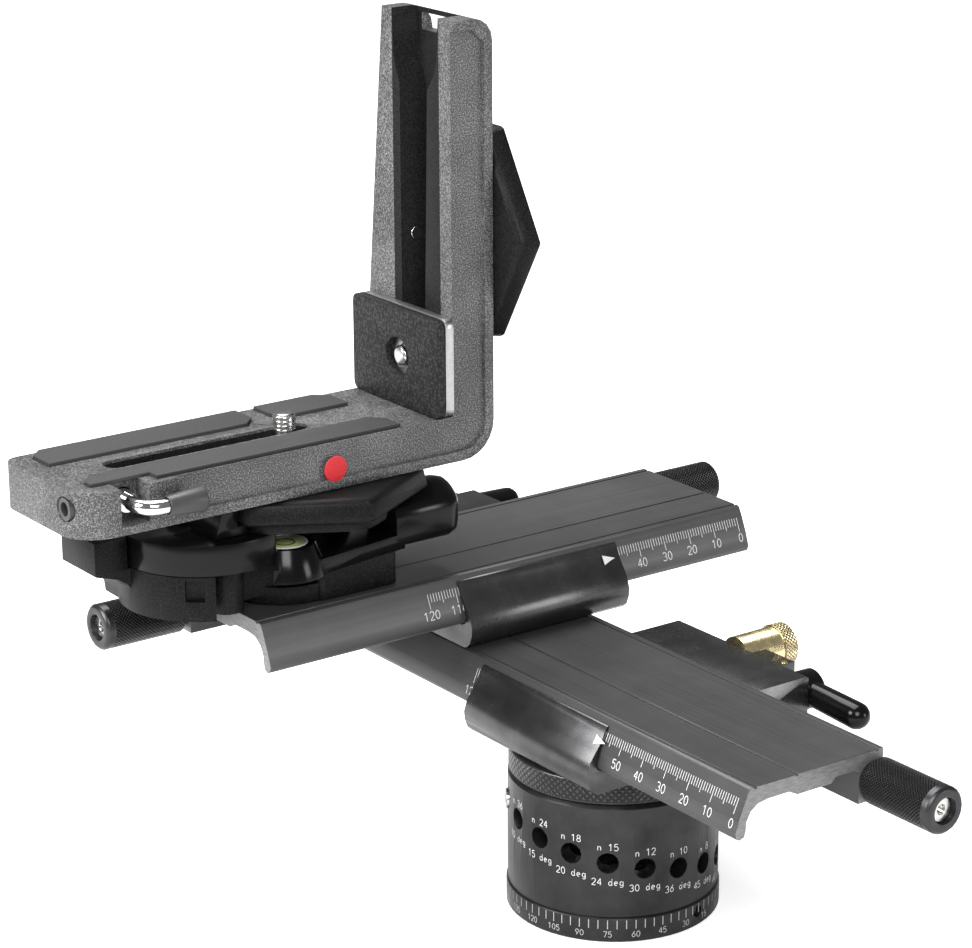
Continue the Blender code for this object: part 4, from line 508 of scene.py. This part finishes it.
for side, axis in (("lower", 1), ("upper", 0)):
    for where in ("near", "far"):
        name = f"{side}_{where}_knob"
        grip = knurled(name + "_knurl", (0.05, 0.05, 0.052), valley_shade_share=0.1, rough=0.34, metallic=0.85,
                       centre=middle_of(name), axis=axis, count=40, radius=KNOB_RADIUS, span=GRIP_SPAN,
                       depth=0.35 * MM)
        dress([name], grip)

for side, axis in (("lower", 0), ("upper", 1)):
    name = side + "_release_knob"
    end = length_of(name, axis) / 2
    brass = knurled(name + "_brass", (0.86, 0.72, 0.42), valley_shade_share=0.4, rough=0.24, metallic=1.0,
                    centre=middle_of(name), axis=axis, count=34, radius=KNOB_RADIUS,
                    span=[end - inset for inset in BRASS_INSETS], depth=0.4 * MM)
    dress([name], brass)


# Added pieces

def mesh_of(name, shape):
    mesh = bpy.data.meshes.new(name)
    shape.to_mesh(mesh)
    shape.free()
    return mesh


def new_object(name, mesh, material):
    mesh.materials.append(material)
    made = bpy.data.objects.new(name, mesh)
    bpy.context.scene.collection.objects.link(made)
    return made


# Engraved scales and numbers

GLYPHS = {
    "0": [("arc", 0.275, 0.5, 0.275, 0.5, 0, 360)],
    "1": [(0.05, 0.78), (0.3, 1.0), (0.3, 0.0)],
    "2": [("arc", 0.275, 0.72, 0.265, 0.28, 165, -35), (0.0, 0.0), (0.55, 0.0)],
    "3": [("arc", 0.255, 0.75, 0.25, 0.25, 150, -90), ("arc", 0.255, 0.26, 0.28, 0.26, 90, -150)],
    "4": [(0.42, 0.0), (0.42, 1.0), (0.0, 0.3), (0.58, 0.3)],
    "5": [(0.5, 1.0), (0.08, 1.0), (0.04, 0.56), ("arc", 0.26, 0.32, 0.28, 0.32, 140, -150)],
    "6": [(0.45, 1.0), (0.05, 0.45), ("arc", 0.28, 0.3, 0.26, 0.3, 150, -210)],
    "7": [(0.0, 1.0), (0.55, 1.0), (0.2, 0.0)],
    "8": [("arc", 0.275, 0.76, 0.22, 0.24, 270, -90), ("arc", 0.275, 0.26, 0.275, 0.26, 90, -270)],
    "9": [("arc", 0.27, 0.7, 0.26, 0.3, -30, 330), (0.5, 0.55), (0.12, 0.0)],
    "n": [(0.05, 0.0), (0.05, 0.62), (0.05, 0.4), ("arc", 0.26, 0.38, 0.2, 0.22, 170, 0), (0.46, 0.0)],
    "d": [("arc", 0.25, 0.3, 0.22, 0.3, 0, 360), (0.48, 0.3), (0.48, 1.0), (0.48, 0.0)],
    "e": [(0.05, 0.32), (0.48, 0.32), ("arc", 0.26, 0.3, 0.22, 0.3, 10, 310)],
    "g": [("arc", 0.25, 0.3, 0.22, 0.3, 0, 360), (0.48, 0.6), (0.48, -0.1),
          ("arc", 0.26, -0.12, 0.22, 0.16, 0, -150)],
    " ": [],
}
GLYPH_WIDTH = 0.55
GLYPH_ADVANCE = 0.78
ARC_STEPS = 12
LONGEST_PIECE = 0.9 * MM
SHORTEST_STROKE = 0.01 * MM


def glyph_points(glyph):
    """Points of one character's single stroke, on a height of one."""
    points = []
    for step in GLYPHS[glyph]:
        if step[0] == "arc":
            _, x, y, half_width, half_height, start, end = step
            for i in range(ARC_STEPS + 1):
                a = (start + (end - start) * i / ARC_STEPS) * DEG
                points.append((x + half_width * math.cos(a), y + half_height * math.sin(a)))
        else:
            points.append(step)
    return points


class Sheet:
    """Thin strokes drawn on a flat sheet and laid on a surface."""

    def __init__(self, name, rider, material, place):
        self.name = name
        self.rider = rider
        self.material = material
        self.place = place
        self.vertices = []
        self.faces = []

    def quad(self, corners):
        start = len(self.vertices)
        self.vertices += [self.place(u, v) for u, v in corners]
        self.faces.append(tuple(range(start, start + len(corners))))

    def stroke(self, a, b, width):
        """Straight line, in pieces short enough to follow a curved surface."""
        run = math.hypot(b[0] - a[0], b[1] - a[1])
        pieces = max(1, math.ceil(run / LONGEST_PIECE))
        du, dv = (b[0] - a[0]) / run, (b[1] - a[1]) / run
        su, sv = -dv * width / 2, du * width / 2
        for i in range(pieces):
            near, far = run * i / pieces, run * (i + 1) / pieces
            pu, pv = a[0] + du * near, a[1] + dv * near
            qu, qv = a[0] + du * far, a[1] + dv * far
            self.quad([(pu + su, pv + sv), (pu - su, pv - sv), (qu - su, qv - sv), (qu + su, qv + sv)])

    def words(self, text, u, v, height, width):
        """Writes a text centred on a place of the sheet, its top towards smaller v."""
        span = (len(text) - 1) * GLYPH_ADVANCE + GLYPH_WIDTH
        for index, glyph in enumerate(text):
            points = glyph_points(glyph)
            left = index * GLYPH_ADVANCE - span / 2
            laid = [(u + (left + x) * height, v + (0.5 - y) * height) for x, y in points]
            for a, b in zip(laid, laid[1:]):
                if math.hypot(b[0] - a[0], b[1] - a[1]) > SHORTEST_STROKE:
                    self.stroke(a, b, width)

    def finish(self):
        mesh = bpy.data.meshes.new(self.name)
        mesh.from_pydata(self.vertices, [], self.faces)
        made = new_object(self.name, mesh, self.material)
        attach(made, self.rider)


def on_path(path, slide, start, lift):
    """Lays a sheet on a slide: v runs down a profile in x and z, and u runs towards its near end."""
    def place(u, v):
        left = max(v, 0)
        for a, b in zip(path, path[1:]):
            run = math.dist(a, b)
            if left <= run or b == path[-1]:
                break
            left -= run
        share = left / run
        x = a[0] + (b[0] - a[0]) * share
        z = a[1] + (b[1] - a[1]) * share
        out_x, out_z = (b[1] - a[1]) / run, -(b[0] - a[0]) / run
        return slide @ Vector((x + out_x * lift, start - u, z + out_z * lift))
    return place


def on_drum(radius):
    """Lays a sheet round Z: u runs along the rim, and v goes down from the floor's height."""
    def place(u, v):
        a = u / radius
        r = radius + DRUM_LIFT
        return Vector((r * math.cos(a), r * math.sin(a), -v))
    return place


PALE_INK = ink("pale_ink", (0.62, 0.62, 0.62))
DIM_INK = ink("dim_ink", (0.42, 0.42, 0.42))

TICK_TOP = 0.35 * MM
TICK_WIDTH = 0.2 * MM
TICK_LENGTHS = ((10, 4.6 * MM), (5, 3.4 * MM), (1, 2.5 * MM))
LAST_READING = 120
READING_STEP = 10
LIP_NUMBER_HEIGHT = 2.6 * MM
LIP_NUMBER_STROKE = 0.26 * MM


def scale_marks(name, rider, slide, zero, label_drop):
    """Millimetre scale down a plate's lip, read from its near end."""
    sheet = Sheet(name, rider, PALE_INK, on_path(LIP_PATH, slide, zero, LIP_LIFT))
    for reading in range(LAST_READING + 1):
        length = next(size for every, size in TICK_LENGTHS if reading % every == 0)
        u = -reading * MM
        sheet.stroke((u, TICK_TOP), (u, TICK_TOP + length), TICK_WIDTH)
    for reading in range(0, LAST_READING + 1, READING_STEP):
        sheet.words(str(reading), -reading * MM, label_drop, LIP_NUMBER_HEIGHT, LIP_NUMBER_STROKE)
    sheet.finish()


POINTER_HEIGHT = 3.1 * MM
POINTER_LENGTH = 4.6 * MM
POINTER_ROWS = 8


def pointer(name, rider, slide, along, down):
    """Filled triangle on a carriage that points along its scale, its last row three-cornered."""
    sheet = Sheet(name, rider, PALE_INK, on_path(JAW_PATH, slide, 0, JAW_LIFT))
    for i in range(POINTER_ROWS):
        near, far = i / POINTER_ROWS, (i + 1) / POINTER_ROWS
        a, b = (1 - near) * POINTER_HEIGHT / 2, (1 - far) * POINTER_HEIGHT / 2
        u, w = near * POINTER_LENGTH - along, far * POINTER_LENGTH - along
        corners = [(u, down - a), (u, down + a), (w, down + b), (w, down - b)]
        sheet.quad(corners[:4 if b > 0 else 3])
    sheet.finish()


COUNT_RISE = 5.1 * MM
ANGLE_DROP = 5.9 * MM
INDEX_TEXT_HEIGHT = 2.1 * MM
INDEX_TEXT_STROKE = 0.22 * MM


def drum_marks():
    """Count over each index hole, and its angle below."""
    sheet = Sheet("index_numbers", "pan", PALE_INK, on_drum(DRUM_RADIUS))
    for k, count in enumerate(INDEX_COUNTS):
        u = (INDEX_START + INDEX_STEP * k) * DEG * DRUM_RADIUS
        drop = INDEX_PITCH * k - INDEX_TOP
        sheet.words(f"n {count}", u, drop - COUNT_RISE, INDEX_TEXT_HEIGHT, INDEX_TEXT_STROKE)
        sheet.words(f"{360 // count} deg", u, drop + ANGLE_DROP, INDEX_TEXT_HEIGHT, INDEX_TEXT_STROKE)
    sheet.finish()


# The reading that faces the front, and where it stands in degrees
FRONT_READING = 75
FRONT_ANGLE = -130.8
DEGREE_STEP = 5
DEGREE_NUMBER_STEP = 15
DEGREE_TOP = -7.1 * MM
DEGREE_TICK = 2.8 * MM
DEGREE_TICK_WIDTH = 0.24 * MM
DEGREE_DROP = 4.5 * MM
DEGREE_TEXT_HEIGHT = 1.8 * MM
DEGREE_TEXT_STROKE = 0.2 * MM


def ring_marks():
    """Degree scale round the bottom ring."""
    sheet = Sheet("ring_degrees", "base", DIM_INK, on_drum(BASE_RADIUS))
    for value in range(0, 360, DEGREE_STEP):
        u = (FRONT_READING - value + FRONT_ANGLE) * DEG * BASE_RADIUS
        sheet.stroke((u, DEGREE_TOP), (u, DEGREE_TOP + DEGREE_TICK), DEGREE_TICK_WIDTH)
        if value % DEGREE_NUMBER_STEP == 0:
            sheet.words(str(value), u, DEGREE_TOP + DEGREE_DROP, DEGREE_TEXT_HEIGHT, DEGREE_TEXT_STROKE)
    sheet.finish()


scale_marks("lower_scale", "lower_plate", LOWER_FRAME, zero=-87.8 * MM, label_drop=7.6 * MM)
scale_marks("upper_scale", "upper_plate", UPPER_FRAME, zero=-78.7 * MM, label_drop=6.8 * MM)
pointer("lower_pointer", "pan", LOWER_FRAME, along=-27.5 * MM, down=4.6 * MM)
pointer("upper_pointer", "lower_plate", UPPER_FRAME, along=-23.4 * MM, down=4.4 * MM)
drum_marks()
ring_marks()


# Small round pieces

DISC_HEIGHT = 0.3 * MM
DISC_SIDES = 48
DISC_TOP_SHARE = 0.94


def disc(name, rider, centre, facing, radius, material):
    """Thin plain disc that stands a little proud of a face."""
    shape = bmesh.new()
    turn = Vector(facing).to_track_quat("Z", "Y").to_matrix().to_4x4()
    bmesh.ops.create_cone(shape, cap_ends=True, segments=DISC_SIDES, radius1=radius,
                          radius2=radius * DISC_TOP_SHARE, depth=DISC_HEIGHT,
                          matrix=Matrix.Translation(centre) @ turn)
    made = new_object(name, mesh_of(name, shape), material)
    soften(made, DISC_HEIGHT / 3)
    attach(made, rider)


RING_SIDES = 64
TUBE_SIDES = 10


def ring_of(name, rider, centre, radius, tube, material):
    """Round ring lying flat."""
    shape = bmesh.new()
    rows = []
    for i in range(RING_SIDES):
        a = 2 * math.pi * i / RING_SIDES
        row = []
        for k in range(TUBE_SIDES):
            b = 2 * math.pi * k / TUBE_SIDES
            r = radius + tube * math.cos(b)
            row.append(shape.verts.new((centre[0] + r * math.cos(a), centre[1] + r * math.sin(a),
                                        centre[2] + tube * math.sin(b))))
        rows.append(row)
    for i, row in enumerate(rows):
        following = rows[(i + 1) % RING_SIDES]
        for k in range(TUBE_SIDES):
            j = (k + 1) % TUBE_SIDES
            shape.faces.new((row[k], following[k], following[j], row[j]))
    made = new_object(name, mesh_of(name, shape), material)
    soften(made, 0)
    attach(made, rider)


RED_ENAMEL = ink("red_enamel", (0.55, 0.012, 0.02))
disc("red_disc", "upper_plate", centre=(-68.4 * MM, 43.0 * MM, 137.3 * MM), facing=(0, -1, 0),
     radius=3.9 * MM, material=RED_ENAMEL)
disc("slot_pin", "upper_plate", centre=(-20.8 * MM, 69.6 * MM, 195.0 * MM), facing=(0, -1, 0),
     radius=2.0 * MM, material=CHROME)
disc("block_pin", "pan", centre=(52.6 * MM, -15.8 * MM, 68.15 * MM), facing=(0, 0, 1),
     radius=1.2 * MM, material=BRASS)

VIAL_TOP = top_of("level_vial", 0.05 * MM)
ring_of("level_ring", "clamp_lever", VIAL_TOP, radius=2.9 * MM, tube=0.18 * MM, material=DARK_CAP)
ring_of("level_rim", "clamp_lever", VIAL_TOP, radius=6.3 * MM, tube=0.35 * MM, material=PALE_INK)

THREAD_TURNS = 4
THREAD_START = 0.9 * MM
THREAD_PITCH = 1.27 * MM
for turn in range(THREAD_TURNS):
    crest = top_of("camera_screw", -THREAD_START - THREAD_PITCH * turn)
    ring_of(f"screw_thread_{turn}", "camera_screw", crest, radius=3.05 * MM, tube=0.34 * MM, material=STEEL)


# Camera, floor and lights

# Focal length and picture width in pixels, sensor width in millimetres
FOCAL_LENGTH = 3215.63
PICTURE_WIDTH = 972
SENSOR_WIDTH = 36
CAMERA_EYE = (-0.54918, -0.69520, 0.41824)
CAMERA_TARGET = (-0.023401, 0.031668, 0.130017)
CAMERA_ROLL = -0.30 * DEG
MIDDLE = (0, 0.03, 0.1)
UPPER_MIDDLE = (0, 0.03, 0.16)
FLOOR_SIZE = 3.0
FLOOR_HEIGHT = -0.2 * MM


def look(eye, target, roll=0.0):
    """Matrix of a camera or lamp at a point that faces another."""
    forward = (Vector(target) - Vector(eye)).normalized()
    right = forward.cross(Vector((0, 0, 1))).normalized()
    up = right.cross(forward)
    across = right * math.cos(roll) + up * math.sin(roll)
    rise = up * math.cos(roll) - right * math.sin(roll)
    turn = Matrix((across, rise, -forward)).transposed().to_4x4()
    return Matrix.Translation(eye) @ turn


def camera():
    data = bpy.data.cameras.new("camera")
    data.sensor_width = SENSOR_WIDTH
    data.sensor_fit = "HORIZONTAL"
    data.lens = FOCAL_LENGTH / PICTURE_WIDTH * SENSOR_WIDTH
    data.clip_start = 0.05
    data.clip_end = 30
    made = bpy.data.objects.new("camera", data)
    bpy.context.scene.collection.objects.link(made)
    made.matrix_world = look(CAMERA_EYE, CAMERA_TARGET, CAMERA_ROLL)
    bpy.context.scene.camera = made


def by_ray(tree, socket, low, high, kinds):
    """Feeds a strength that is high for the named kinds of ray and low for the rest."""
    rays = tree.nodes.new("ShaderNodeLightPath")
    level = tree.nodes.new("ShaderNodeMapRange")
    level.inputs["To Min"].default_value = low
    level.inputs["To Max"].default_value = high
    seen = rays.outputs[kinds[0]]
    for kind in kinds[1:]:
        either = tree.nodes.new("ShaderNodeMath")
        either.operation = "MAXIMUM"
        tree.links.new(seen, either.inputs[0])
        tree.links.new(rays.outputs[kind], either.inputs[1])
        seen = either.outputs[0]
    tree.links.new(seen, level.inputs["Value"])
    tree.links.new(level.outputs["Result"], socket)


def floor():
    """Pale floor, lifted to white for the camera, that keeps the shadow."""
    shape = bmesh.new()
    bmesh.ops.create_grid(shape, x_segments=8, y_segments=8, size=FLOOR_SIZE)
    material = bpy.data.materials.new("floor_white")
    material.use_nodes = True
    shader = material.node_tree.nodes["Principled BSDF"]
    shader.inputs["Base Color"].default_value = (0.82, 0.82, 0.82, 1)
    shader.inputs["Roughness"].default_value = 0.9
    shader.inputs["Emission Color"].default_value = (1, 1, 1, 1)
    by_ray(material.node_tree, shader.inputs["Emission Strength"], low=0.0, high=0.6, kinds=["Is Camera Ray"])
    made = new_object("floor", mesh_of("floor", shape), material)
    made.location = (0, 0, FLOOR_HEIGHT)


def lamp(name, eye, target, size, power):
    """Square soft box."""
    data = bpy.data.lights.new(name, "AREA")
    data.shape = "RECTANGLE"
    data.size = size
    data.size_y = size
    data.energy = power
    made = bpy.data.objects.new(name, data)
    bpy.context.scene.collection.objects.link(made)
    made.matrix_world = look(eye, target)


def world():
    """Dim white surroundings that the camera sees as full white."""
    made = bpy.data.worlds.new("studio")
    bpy.context.scene.world = made
    made.use_nodes = True
    back = made.node_tree.nodes["Background"]
    back.inputs["Color"].default_value = (1, 1, 1, 1)
    by_ray(made.node_tree, back.inputs["Strength"], low=0.22, high=1.0,
           kinds=["Is Camera Ray", "Is Transmission Ray"])


camera()
floor()
world()
lamp("key", eye=(-0.7, -1.1, 1.0), target=MIDDLE, size=0.7, power=20)
lamp("left", eye=(-1.4, 0.3, 0.85), target=UPPER_MIDDLE, size=0.7, power=30)
lamp("side", eye=(1.0, -1.5, 0.4), target=MIDDLE, size=0.5, power=7)
lamp("top", eye=(0, 0.5, 1.6), target=MIDDLE, size=1.2, power=40)

bpy.context.scene.view_settings.view_transform = "Standard"
